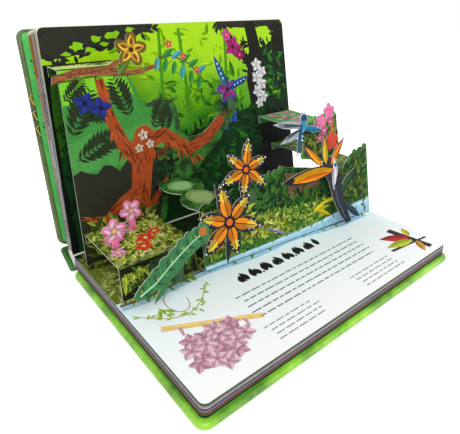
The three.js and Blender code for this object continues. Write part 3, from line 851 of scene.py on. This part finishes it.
# %% [markdown]
# Two vignettes close the page: pink orchids that hang from a yellow cane, and a pair of
# red and lime leaves on a dark stem.
# %% Vignettes
stroke(lying, [(14, -138), (84, -174)], 5.5, 5.5, "#F6CF72", 3)
stroke(lying, [(14, -137), (84, -173)], 1.2, 1.2, "#FBE3A2", 4)
for x, y in ((26, -145), (70, -168), (48, -157)):
    stroke(lying, [(x, y), (x - 2, y - 9)], 3, 2, "#C9A0B5", 4)
for i in range(17):
    angle = 2.4 * i
    reach = 2.6 + 4.5 * math.sqrt(i)
    x = 38 + 1.25 * reach * math.cos(angle)
    y = -176 + 0.85 * reach * math.sin(angle)
    tone = "#F2C4D4" if i % 2 else "#E2A8C0"
    blossom(lying, x, y, 9, 5, 31 * i, tone, "#B87C98", 5 + 2 * (i % 2))
for x, y, angle in ((20, -128, 70), (26, -126, 100), (33, -128, 130)):
    leaf(lying, x, y, angle, 10, 3.4, "#A6CF3A", 4)
stroke(lying, [(276, -160), (284, -205)], 8, 7, "#3A2A22", 3)
stroke(lying, [(244, -186), (296, -192)], 3.2, 2.4, "#4A362A", 4)
leaves(lying, 282, -182, (
    (0, 0, 150, 34, 13, "#C8342A", 5),
    (-2, -4, 170, 36, 11, "#C6D83A", 5),
    (2, 2, 60, 16, 8, "#E8C83A", 5),
    (0, -8, 235, 20, 8, "#E2A03A", 5),
))
inside(lying, (0.2, 299.8), (-211.6, -1.2))
lying.finish()

# %% [markdown]
# ## The tree panel
# The tall card at the left shows a rust-barked tree that spreads its boughs over dark
# undergrowth. The long bough runs out into the arm of the die-cut card.
# %% Tree panel
tree_plane = riser_plane(TREE_OFFSET, 0, CARD)
tree = Sheet("tree_print", tree_plane, 37)
backdrop = [
    (4.4, 80), (78, 84), (112, 96), (112, 134), (82, 134), (68, 166), (60, 176), (4.4, 176),
]
tree.shape(backdrop, "#3F8F3A", 0)
tree.shape([(4.4, 146), (40, 150), (72, 148), (66, 166), (60, 176.4), (4.4, 176.4)], "#7FD22A", 1)
hill = [
    (4.4, 112), (30, 120), (58, 116), (90, 122), (108, 114), (108, 96), (78, 86), (4.4, 84),
]
tree.shape(hill, "#4F9A48", 1)
ridge = [(4.4 + 7.2 * i, 84 + 5 * math.sin(1.9 * i) + 2 * math.sin(4.1 * i)) for i in range(14)]
tree.shape([(4.4, 1), (78, 1)] + ridge[::-1], "#2A2B1E", 2)
foliage(tree, (78, 52, 108, 90), 60, 12, ["#16301A", "#1F4A20", "#0E2412"], 2, 80, 100)
for x, y, angle, size in (
    (8, 118, 60, 46), (10, 96, 25, 40), (66, 128, 110, 40), (88, 112, 60, 34),
    (14, 140, -10, 34), (60, 100, 150, 30), (100, 104, 80, 30), (6, 150, 40, 26),
):
    frond(tree, x, y, angle, size, 9, "#26381C", 3, 50)
RUST = "#AA4A20"
trunk = [(58, 3), (64, 40), (70, 74), (76, 104)]
left_limb = [(72, 78), (54, 104), (44, 134), (40, 166)]
long_limb = [(76, 100), (98, 104), (126, 84), (150, 92), (172, 110), (187, 125)]
low_limb = [(66, 56), (46, 48), (28, 36), (12, 40)]
stroke(tree, trunk, 17, 24, RUST, 5)
stroke(tree, left_limb, 15, 8, RUST, 5)
stroke(tree, long_limb, 17, 9, RUST, 5)
stroke(tree, low_limb, 14, 5, RUST, 5)
stroke(tree, [(62, 30), (78, 40), (96, 60)], 9, 4, "#9A411C", 5)
blot(tree, 77, 104, 12, RUST, 5, 1.1, 0.05)
BARK = ["#8A3715", "#C4652F", "#7A2E12", "#B85A2A"]
for path_points, count, reach in (
    (trunk, 60, 8), (left_limb, 44, 5), (long_limb, 70, 5), (low_limb, 34, 4),
):
    for _ in range(count):
        where = tree.random.uniform(0, len(path_points) - 1.001)
        i = int(where)
        (x0, y0), (x1, y1) = path_points[i], path_points[i + 1]
        share = where - i
        angle = math.degrees(math.atan2(y1 - y0, x1 - x0))
        place = (x0 + (x1 - x0) * share, y0 + (y1 - y0) * share)
        place = polar(*place, angle + 90, tree.random.uniform(-reach, reach))
        angle += tree.random.uniform(-12, 12)
        leaf(tree, *place, angle, 11, 1.5, tree.random.choice(BARK), 6)
for x, y, angle in (
    (98, 97, -80), (112, 86, -85), (126, 76, -70), (86, 92, -100), (52, 98, -110),
    (45, 118, -100),
):
    for k in range(4):
        leaf(tree, x + 3 * k, y, angle + 8 * k, 12, 2.6, tree.random.choice(BARK), 6)
for x, y, size in ((76, 108, 6), (70, 96, 5), (82, 98, 5)):
    blossom(tree, x, y, size, 5, 20, "#E8D2BC", "#7A4A30", 7)
for x, y, turn in ((24, 146, 60), (38, 140, 100)):
    blossom(tree, x, y, 11, 4, turn, "#27348E", "#0E0E20", 7)
foliage(tree, (10, 4, 76, 34), 150, 11, ["#7E8F2A", "#A8B840", "#4A5A1E", "#2E3A18"], 7, 90, 70)
inside(tree, (4.3, 190), (0.8, 176.5))
tree.finish()

bough = Sheet("bough_print", riser_plane(TREE_OFFSET, 0, 2 * CARD + SEAT), 31)
for height, tone in ((168, "#5E2E18"), (170.5, "#B5764A"), (173, "#6E3A20")):
    points = [(2 + 12 * i, height + 1.2 * math.sin(i + height)) for i in range(8)]
    stroke(bough, points, 1.1, 0.6, tone, 1)
for x, turn in ((20, -60), (40, -120), (58, 60), (72, -70), (86, 80)):
    leaf(bough, x, 170, turn, 4.5, 2.4, "#5F9A2A", 2)
bough.finish()

# %% [markdown]
# ## Steps and banks
# The steps carry lighter prints, as if lit from above, with petals strewn on them, and
# the fronts of the banks are thick with leaves.
# %% Left bank and stepping stones
bank_top = Sheet("left_bank_print", floor_plane(step_height(BANK_HEIGHT)), 41)
BRIGHT = ["#C9D84A", "#E2E868", "#9AB43A", "#6E8A2A", "#F0F09A", "#46591F"]
bank_top.shape([(6.5, -86), (77, -86), (68, -19), (6.5, -19)], "#4A5A22", 0)
foliage(bank_top, (8, -84, 72, -22), 480, 9, BRIGHT, 1, -40, 130)
for x, y, size, tone in (
    (22, -44, 11, "#F48FBC"), (34, -34, 9, "#F7A8CC"), (46, -58, 10, "#EE4A34"),
    (58, -52, 8, "#F0603A"), (38, -70, 9, "#F0502E"), (16, -66, 8, "#F7A8CC"),
):
    blossom(bank_top, x, y, size, 5, 40, tone, "#FFE08A", 2)
inside(bank_top, (6.6, 77), (-86.2, -19))
bank_top.finish()

bank_face = Sheet("left_bank_face_print", riser_plane(BANK_OFFSET, 0, CARD), 43)
# Painted shade: the near-black ground stands for the shade under the bank's front edge.
bank_face.shape([(6.5, 1), (77.5, 1), (77.5, 28), (6.5, 28)], "#1B1F12", 0)
FACE_TONES = ["#C9D84A", "#9AB43A", "#6E8A2A", "#3A4A1C"]
foliage(bank_face, (8, 14, 75, 27), 150, 9, FACE_TONES, 1, -80, 60)
# Painted shade: the leaves on the lower half are darker, as shade under the bank's front edge.
foliage(bank_face, (8, 3, 75, 14), 80, 9, ["#3A4A1C", "#26301A", "#4F6A24"], 1, -80, 60)
inside(bank_face, (6.4, 77.6), (0.8, 28.6))
bank_face.finish()

stones = Sheet("stepping_stone_print", floor_plane(step_height(RIVER_HEIGHT)), 47)
blot(stones, 98, -34, 13, "#6FA45A", 0, 1.0, 0.08)
blot(stones, 99, -34, 10, "#8FC07A", 1, 0.9, 0.15)
blot(stones, 100, -66, 13, "#7E9A5A", 0, 1.3, 0.08)
blot(stones, 100, -68, 10, "#98B070", 1, 1.2, 0.15)
stones.finish()

# %% [markdown]
# The river bank is the longest card. Moss covers its middle, a bare rock shows near the
# top, a yellow-green bush grows at its left end, and the river runs along its foot.
# %% River bank
river = Sheet("river_bank_print", riser_plane(RIVER_OFFSET, RIVER_SLANT, CARD), 53)
RIVER_END = PAGE_LENGTH / math.cos(math.radians(RIVER_SLANT))
CREST = (
    (82, 57), (124, 65), (RIVER_END - 122, 74), (RIVER_END - 41, 57), (RIVER_END - 24, 70),
    (RIVER_END, 75),
)
DEEP_MOSS = ["#123C16", "#1C5018", "#2C6A1C", "#0B260E", "#4F8A22"]
LIT_MOSS = ["#6E9A2A", "#9CB63A", "#3F7A20", "#C2CE52"]
BUSH = ["#D8E04A", "#E8EC7A", "#A8B83A", "#7E8A2A", "#4A5A1C"]
END_BUSH = ["#4A6A1E", "#6E8A2A", "#2A441A", "#16301A"]


def crest(x):
    for (x0, y0), (x1, y1) in zip(CREST, CREST[1:]):
        if x <= x1:
            return y0 + (y1 - y0) * (x - x0) / (x1 - x0)
    return CREST[-1][1]


under_crest = [(x, y - 2) for x, y in CREST[:0:-1]]
river.shape([(83, 1), (RIVER_END - 0.5, 1)] + under_crest + [(83, 55)], "#0E2A10")
foliage(river, (84, 26, RIVER_END - 6, 70), 900, 9, DEEP_MOSS, 1, 90, 90)
foliage(river, (84, 6, 235, 34), 420, 8, LIT_MOSS, 2, 90, 90)
foliage(river, (224, 10, RIVER_END - 6, 34), 150, 8, DEEP_MOSS, 2, 90, 90)
river.shape([(179, 71), (222, 62), (228, 50), (216, 40), (186, 44)], "#7E6048", 3)
foliage(river, (182, 44, 222, 64), 60, 8, ["#6E5440", "#8E7056", "#604836"], 3, 0, 40)
foliage(river, (174, 36, 234, 46), 90, 8, DEEP_MOSS, 4, 90, 60)
foliage(river, (84, 16, 136, 52), 360, 8, BUSH, 4, 90, 80)
foliage(river, (136, 12, 176, 30), 120, 8, BUSH, 4, 90, 80)
foliage(river, (RIVER_END - 50, 12, RIVER_END - 6, 70), 260, 9, END_BUSH, 4, 90, 60)
water = [
    (82.5, 0.8), (RIVER_END - 0.5, 0.8), (RIVER_END - 0.5, 18), (270, 15), (220, 9),
    (150, 6), (82.5, 5),
]
river.shape(water, "#A6D3EC", 5)
ripple = [(84, 2.5), (130, 4), (190, 5), (240, 9), (280, 12), (RIVER_END - 3, 14)]
stroke(river, ripple, 2, 3, "#C8E8F6", 6)
stroke(river, [(RIVER_END - 8, 2), (RIVER_END - 11, 20), (RIVER_END - 9, 38)], 2, 1.4, "#6E4E3A", 7)
for i in range(12):
    x = 90 + 17 * i
    leaf(river, x, 3.5 + 0.02 * (x - 90), river.random.uniform(20, 160), 6, 2.4, "#6FA83A", 8)
for i in range(7):
    leaf(river, RIVER_END - 10, 4 + 5 * i, 40 + 100 * (i % 2), 6, 2.6, "#4F8A3A", 8)
leaves(river, 0, 0, (
    (214, 21, 14, 40, 9, "#F0E22A", 7),
    (220, 22, -28, 22, 5, "#E8D21E", 7),
    (228, 26, -4, 24, 3, "#2E6A3A", 8),
    (150, 24, 160, 30, 4, "#8A84D8", 7),
    (152, 22, -30, 34, 2.4, "#8A84D8", 7),
))
for angle in (176, 160, 192):
    leaf(river, 104, 20, angle, 20, 4.5, "#F58A1E", 7)
inside(river, (82.5, RIVER_END - 0.4), (0.6, 76), crest)
river.finish()

moss = Sheet("moss_ledge_print", floor_plane(step_height(RIVER_HEIGHT)), 59)
moss.shape([(263.5, -104), (299.5, -108), (299.5, 9), (263.5, 9)], "#8FA848", 0)
LEDGE_MOSS = ["#B8CC6A", "#8FA848", "#5F8A34", "#D2DE8A"]
foliage(moss, (266, -100, 297, 4), 260, 8, LEDGE_MOSS, 1, -60, 120)
inside(moss, (263.4, 299.6), (-107, 9))
moss.finish()

# %% [markdown]
# The flower ledge is the upper step at the right, green with fallen petals, and its front
# is a bush of olive leaves with pink flowers.
# %% Flower ledge and top step
petal_top = Sheet("flower_ledge_print", floor_plane(step_height(FLOWER_HEIGHT)), 61)
petal_top.shape([(245.5, -62), (299.5, -62), (299.5, 15.5), (245.5, 15.5)], "#57A257", 0)
foliage(petal_top, (248, -58, 296, 10), 90, 14, ["#66B562", "#4A8F4E", "#7CC476"], 1, -20, 60)
for x, y, turn in (
    (254, 6, 20), (268, 2, 160), (282, 8, 10), (262, -12, 30), (278, -16, 200),
    (290, -6, 20), (268, -30, 20), (284, -34, 170), (256, -42, 40), (274, -48, 10),
):
    leaf(petal_top, x, y, turn, 16, 7, "#FF86BA", 2)
    leaf(petal_top, x, y, turn + 140, 11, 5, "#FFB4D4", 2)
inside(petal_top, (245.4, 299.6), (-62, 15.6))
petal_top.finish()

bush = Sheet("flower_ledge_face_print", riser_plane(FLOWER_OFFSET, 0, CARD), 67)
front = [(238, 66), (263, 59), (299.4, 59), (299.4, 104), (270, 104), (252, 101), (244, 92)]
bush.shape(front, "#26361A", 0)
OLIVE = ["#5E7A26", "#7E9A30", "#3A4E1C", "#A0B03E", "#263614"]
foliage(bush, (240, 62, 297, 101), 460, 9, OLIVE, 1, 90, 80)
for x, y, size in ((262, 96, 7), (276, 90, 7), (268, 82, 6), (288, 98, 6)):
    blossom(bush, x, y, size, 5, 10, "#F06FA8", "#FFD8E8", 2)
inside(bush, (237, 299.5), (58.4, 106))
bush.finish()

top_step = Sheet("top_step_print", floor_plane(step_height(TREE_HEIGHT)), 71)
top_step.shape([(4.4, 7.6), (61.6, 7.6), (61.6, 30.4), (4.4, 30.4)], "#DDF08E", 0)
canopy(top_step, [(6, 24), (30, 26), (56, 24), (60, 30), (5, 30)], 6, 5, CHARCOAL, 1)
foliage(top_step, (34, 10, 58, 24), 16, 8, [CHARCOAL], 1, 0, 180)
inside(top_step, (4.3, 61.7), (7.5, 30.5))
top_step.finish()

# %% [markdown]
# ## Large flowers
# Each large flower is its own die-cut card on a folded strut. The lilies have orange and
# yellow petals with black edges and white dots.
# %% Lilies
def lily_print(name, x, y, radius, turn, plane, seed):
    sheet = Sheet(name, plane, seed)
    for i in range(6):
        angle = turn + 60 * i
        reach = radius if i % 2 else 0.88 * radius
        inner = polar(x, y, angle, 0.1 * reach)
        outer = polar(x, y, angle, 0.5 * reach)
        leaf(sheet, *inner, angle, 0.66 * reach, 0.3 * reach, "#F7941D", 1)
        leaf(sheet, *outer, angle, 0.36 * reach, 0.2 * reach, "#F8D23A", 2)
        vein = [polar(x, y, angle, 0.12 * reach), polar(x, y, angle, 0.78 * reach)]
        stroke(sheet, vein, 1.0, 0.5, "#1E1E26", 3)
        blot(sheet, *polar(x, y, angle, 0.92 * reach), 0.02 * radius + 0.2, "#F8F8F8", 2, steps=8)
        for side in (-1, 1):
            for share in (0.62, 0.76):
                along = polar(x, y, angle, share * reach)
                spot = polar(*along, angle + 90 * side, 0.135 * reach * (1.5 - share))
                blot(sheet, *spot, 0.65, "#F8F8F8", 3, steps=7)
    blot(sheet, x, y, 0.16 * radius, "#1E1E26", 4, steps=12)
    blot(sheet, x, y, 0.09 * radius, "#E86A1A", 5, steps=10)
    sheet.finish()


RIVER_LEFT = 82
REACH = 11
high_plane = riser_plane(RIVER_OFFSET, RIVER_SLANT, 2 * CARD + REACH)
low_plane = riser_plane(RIVER_OFFSET, RIVER_SLANT, 3 * CARD + REACH + 2 * SEAT)
lily_print("lily_high_print", RIVER_LEFT + 45, RIVER_HEIGHT + 30, 29, 18, high_plane, 73)
lily_print("lily_low_print", RIVER_LEFT + 22, 44, 37, 40, low_plane, 79)

# %% [markdown]
# The crane flower has a long orange spathe, a crest of orange and blue-black petals and a
# dark stem with a pale throat.
# %% Crane flower
crane = Sheet("crane_flower_print", high_plane, 83)
CRANE_X = PAGE_LENGTH - 58
CRANE_Y = 70
leaves(crane, CRANE_X, CRANE_Y, (
    (-6, -4.5, 181.5, 66, 12, "#FFB400", 1),
    (-6, -7, 181, 58, 5, "#F57C00", 2),
    (-58, -5.4, 181.5, 16, 6, "#1E1E26", 3),
    (-20, 1, 134, 34, 6.5, "#FFA61A", 1),
    (-16, 2, 90, 28, 7, "#F7C62A", 1),
    (-10, 0, 49, 32, 6.5, "#FF8A1A", 1),
    (-2, -14, 96, 22, 7, "#F4F2E6", 3),
    (-4, -2, 262, 26, 7, "#E8E6F0", 3),
))
blot(crane, CRANE_X - 3, CRANE_Y - 1, 2.2, "#3A5AA8", 4, steps=10)
leaves(crane, CRANE_X, CRANE_Y, (
    (2, -33, 43, 30, 7, "#2E5A3A", 2),
    (9, -47, -42, 27, 6, "#2A4A5E", 2),
))
stem = [(CRANE_X - 6, CRANE_Y - 22), (CRANE_X - 2, CRANE_Y - 40), (CRANE_X + 8, 8)]
stroke(crane, stem, 2, 2, "#4A5870", 3)
crane.finish()

# %% [markdown]
# The smaller figures are a fern frond with a mint vein, a dragonfly, and blossoms.
# %% Small figures
fern = Sheet("fern_frond_print", riser_plane(BANK_OFFSET, 0, 2 * CARD + FERN_REACH), 89)
fern_spine = [(10, 13), (24, 18), (38, 27), (50, 34), (62, 40), (73, 44)]
for i in range(12):
    share = (i + 0.5) / 12 * (len(fern_spine) - 1)
    k = int(share)
    x = fern_spine[k][0] + (fern_spine[k + 1][0] - fern_spine[k][0]) * (share - k)
    y = fern_spine[k][1] + (fern_spine[k + 1][1] - fern_spine[k][1]) * (share - k)
    for side in (-1, 1):
        leaf(fern, x, y, 35 + side * 62, 7.5, 3, "#4F9A5A" if i % 2 else "#357045", 1)
stroke(fern, fern_spine, 1.6, 1.0, "#A8E6B0", 2)
for x, y in fern_spine:
    blot(fern, x + 2, y + 3.4, 0.8, "#F0A03A", 3, steps=7)
blot(fern, 72, 45, 4, "#C8742E", 3, steps=12)
fern.finish()

fly = Sheet("dragonfly_print", riser_plane(FLOWER_OFFSET, 0, 2 * CARD + SMALL_REACH), 97)
FLY_X = PAGE_LENGTH - 60
FLY_Y = FLOWER_HEIGHT + 8
for angle, size in ((170, 47), (195, 40)):
    for k in range(-2, 3):
        long = size * (1 - 0.05 * abs(k))
        leaf(fly, FLY_X - 2, FLY_Y, angle + 1.6 * k, long, 1.2, "#5A646C", 1)
leaf(fly, FLY_X - 6, FLY_Y + 8, 252, 40, 6, "#1F6E9E", 2)
leaf(fly, FLY_X - 7, FLY_Y - 2, -12, 31, 7, "#2C86B8", 2)
blot(fly, FLY_X - 4, FLY_Y + 8.5, 4.6, "#1E4A7E", 3, steps=12)
blot(fly, FLY_X - 4, FLY_Y + 1, 3.6, "#3FA4B8", 3, 1.5, steps=12)
fly.finish()

BANK_TOP = 29.46
for name, x, back, tall, turn in (("left", 18, 58.3, 15, 15), ("right", 44, 38.3, 18, 40)):
    foot = Matrix.Translation(GUTTER + Vector((x, -back, BANK_TOP)))
    upright = Matrix.Rotation(math.radians(90 - PAGE_LEAN), 4, "X")
    petal_plane = foot @ upright @ Matrix.Translation((0, 0, CARD + INK))
    petals = Sheet(f"pink_blossom_{name}_print", petal_plane, 127)
    for i in range(5):
        leaf(petals, 0, tall, turn + 72 * i, 9.5, 6, "#FBD3E2", 1)
        leaf(petals, 0, tall, turn + 72 * i, 5.5, 2.6, "#F08AB4", 2)
    blot(petals, 0, tall, 1.8, "#F6D25A", 3, steps=9)
    petals.finish()

night_plane = riser_plane(TREE_OFFSET, 0, 2 * CARD + SMALL_REACH)
night = Sheet("night_blossom_print", night_plane, 101)
NIGHT_X = TREE_LEFT + BOUGH_TIP[0] - 12
NIGHT_Y = BOUGH_TIP[1] + 16
for i in range(5):
    leaf(night, NIGHT_X, NIGHT_Y, 30 + 72 * i, 13, 7.5, "#8A2A7E" if i % 2 else "#A83A8E", 1)
leaf(night, NIGHT_X, NIGHT_Y + 2, 110, 36, 7, "#1F6E8E", 2)
leaf(night, NIGHT_X, NIGHT_Y, 20, 30, 7, "#2A4AA0", 2)
for share in (0.35, 0.5, 0.65, 0.8):
    blot(night, *polar(NIGHT_X, NIGHT_Y, 110, 38 * share), 1.2, "#BFE4F6", 3, steps=7)
    blot(night, *polar(NIGHT_X, NIGHT_Y, 20, 32 * share), 1.1, "#BFE4F6", 3, steps=7)
blot(night, NIGHT_X, NIGHT_Y, 2.4, "#14142A", 3, steps=10)
night.finish()

gold = Sheet("gold_blossom_print", riser_plane(TREE_OFFSET, 0, 3 * CARD + 2 * SEAT), 103)
GOLD_X = TREE_STEP_END + 12
GOLD_Y = TREE_HEIGHT + 13
for i in range(5):
    leaf(gold, GOLD_X, GOLD_Y, 10 + 72 * i, 14.5, 8, "#F2C23A", 1)
    leaf(gold, *polar(GOLD_X, GOLD_Y, 10 + 72 * i, 4), 10 + 72 * i, 8, 3, "#7A4A18", 2)
blot(gold, GOLD_X, GOLD_Y, 2.6, "#4A2A12", 3, steps=10)
leaf(gold, GOLD_X - 17, GOLD_Y - 25, 48, 22, 4, "#5F8A2A", 1)
gold.finish()

# %% [markdown]
# ## Edges of the leaves
# A doubled leaf shows the ink of its folded-in print at the edge, so the stack has thin
# slivers of many colours: strips on the ends and the fore edge, and the inner spreads
# that show where the standing leaves fan apart.
# %% Leaf edges
STANDING_INKS = (
    ("#1A2A1E", "#3E4F95", "#C9C4D4", "#D8D2C6", "#E4DECE"),
    ("#0F3A1E", "#6A5A1A", "#1A1A18", "#8A7F9A", "#BFB8B0"),
    ("#2A2420", "#C9C0B0", "#6C78B0", "#1A1A18", "#8A7F78"),
    ("#10261C", "#1F4A3C", "#C4BEAE", "#4A3E5A", "#A99F96"),
    ("#1A1A18", "#2A241C", "#7A6A5A", "#8A5A34", "#A0662A"),
    ("#123A22", "#3A2A34", "#A8A090", "#A06432", "#A0662A"),
)
LYING_INKS = (
    "#1F4A3C", "#8A7F78", "#B5AB9C", "#2E3F85", "#8A7F6A", "#7A3B5A", "#5A5A2A", "#1A1814",
)
RUNS = (4.0, 34.0, 70.0, 110.0, 155.0, PAGE_DEPTH - 4.5)
PITCH = 1.9
LEAF = 1.2
FAN = 0.9
STACK = 11
BOUND = 14  # how much higher a spread's print starts than its edge, above the glued part


def side_plane(x):
    turn = Matrix(((0, 0, 1), (1, 0, 0), (0, 1, 0))).to_4x4()
    return Matrix.Translation(GUTTER + Vector((x, 0, 0))) @ turn


for end, x, sign in (("left", 0, -1), ("right", PAGE_LENGTH, 1)):
    ends = Sheet(f"leaf_edges_{end}", side_plane(x + sign * INK), 107)
    for i, inks in enumerate(STANDING_INKS):
        lean = math.radians(PAGE_LEAN + i * FAN)
        for k, ink in enumerate(inks):
            corners = []
            low, high = RUNS[k:k + 2]
            for reach, up_mm in ((0, low), (LEAF, low), (LEAF, high), (0, high)):
                base = i * PITCH + reach
                corners.append((
                    math.cos(LEAN) * base + up_mm * math.sin(lean),
                    -math.sin(LEAN) * base + up_mm * math.cos(lean),
                ))
            ends.shape(corners[::sign], ink)
    ends.finish()


def leaf_plane(i):
    base = Vector((0, math.cos(LEAN) * i * PITCH, -math.sin(LEAN) * i * PITCH))
    lean_back = Matrix.Rotation(math.radians(90 - PAGE_LEAN - i * FAN), 4, "X")
    return Matrix.Translation(GUTTER + base) @ lean_back @ Matrix.Translation((0, 0, INK))


for i, inks in enumerate(STANDING_INKS[1:], 1):
    spread = Sheet(f"inner_spread_{i}", leaf_plane(i), 131)
    for run, next_run, ink in zip(RUNS, RUNS[1:-1], inks):
        low = run + BOUND
        high = next_run + BOUND
        spread.shape([(0.2, low), (299.8, low), (299.8, high), (0.2, high)], ink)
    top = rounded_outline(PAGE_LENGTH, RUNS[-2] + BOUND, PAGE_DEPTH - 0.4, PAGE_CORNER)
    spread.shape(top, inks[-1])
    spread.finish()

stack = Sheet("leaf_edges_lying", Matrix.Translation(GUTTER), 113)
round_edge = [(-INK, -4)]
for centre_x, start in ((PAGE_CORNER, 180), (PAGE_LENGTH - PAGE_CORNER, 270)):
    for i in range(7):
        angle = start + 15 * i
        round_edge.append(polar(centre_x, PAGE_CORNER - PAGE_DEPTH, angle, PAGE_CORNER + INK))
round_edge.append((PAGE_LENGTH + INK, -4))
pitch = STACK / len(LYING_INKS)
for i, ink in enumerate(LYING_INKS):
    stack.wall(round_edge, -(i + 1) * pitch, -i * pitch, ink)
stack.finish()

# %% [markdown]
# ## Prints of the front cover
# The lining paper is green with a scatter of small dark ticks, the outside has scattered
# fronds, and a small yellow zigzag runs along the padded lip.
# %% Cover prints
COVER_LEAN = 17.5
SPINE_TILT = 24
SPINE_WIDTH = 34
HINGE_BACK = 3
COVER = 6
LINING = 0.4
hinge = GUTTER + Vector((0, -HINGE_BACK, SEAT - GUTTER.z))
tilt = math.radians(SPINE_TILT)
cover_foot = hinge + Vector((0, SPINE_WIDTH * math.cos(tilt), SPINE_WIDTH * math.sin(tilt)))
cover_turn = Matrix.Rotation(math.radians(90 - COVER_LEAN), 4, "X")
cover_plane = Matrix.Translation(cover_foot) @ cover_turn
lining_plane = cover_plane @ Matrix.Translation((0, 0, COVER + SEAT + LINING + INK))
ticks = Sheet("lining_print", lining_plane, 109)
for _ in range(2600):
    x = ticks.random.uniform(3, 294)
    y = ticks.random.uniform(8, 206)
    leaf(ticks, x, y, ticks.random.uniform(-60, 60), 4.4, 1.7, "#2A5A34", 0)
ticks.finish("front_cover")

FROND_TONES = ["#3F8F1E", "#6FBF1F", "#2A6E1A", "#8FD02A", "#1F5A1E"]
outer_plane = cover_plane @ Matrix.Translation((0, 0, -INK))
outer_print = Sheet("front_cover_leaves", outer_plane @ Matrix.Rotation(math.pi, 4, "Y"), 137)
for _ in range(170):
    x = -outer_print.random.uniform(12, PAGE_LENGTH - 12)
    y = outer_print.random.uniform(16, PAGE_DEPTH - 8)
    tone = outer_print.random.choice(FROND_TONES)
    frond(outer_print, x, y, outer_print.random.uniform(20, 160), 26, 6, tone)
inside(outer_print, (-PAGE_LENGTH + 2, -2), (8, PAGE_DEPTH - 3))
outer_print.finish("front_cover")

zigzag = Sheet("cover_lip_print", lining_plane @ Matrix.Translation((0, 0, -SEAT - LINING)), 111)
for i in range(3):
    low = 112 + 15 * i
    points = [(-0.6, low), (-3.3, low + 8), (-0.6, low + 10)]
    stroke(zigzag, points, 1.2, 0.8, "#F2C21A", 1)
zigzag.finish("front_cover")

# %% [markdown]
# ## Finish
# The size of the dressed book is set beside that of the solids, and its height is printed.
# %% Finish
size = {"cad": [list(corner) for corner in cad_box], "visual": [list(corner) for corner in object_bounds()]}
print("height in metres:", round(size["visual"][1][2], 4))
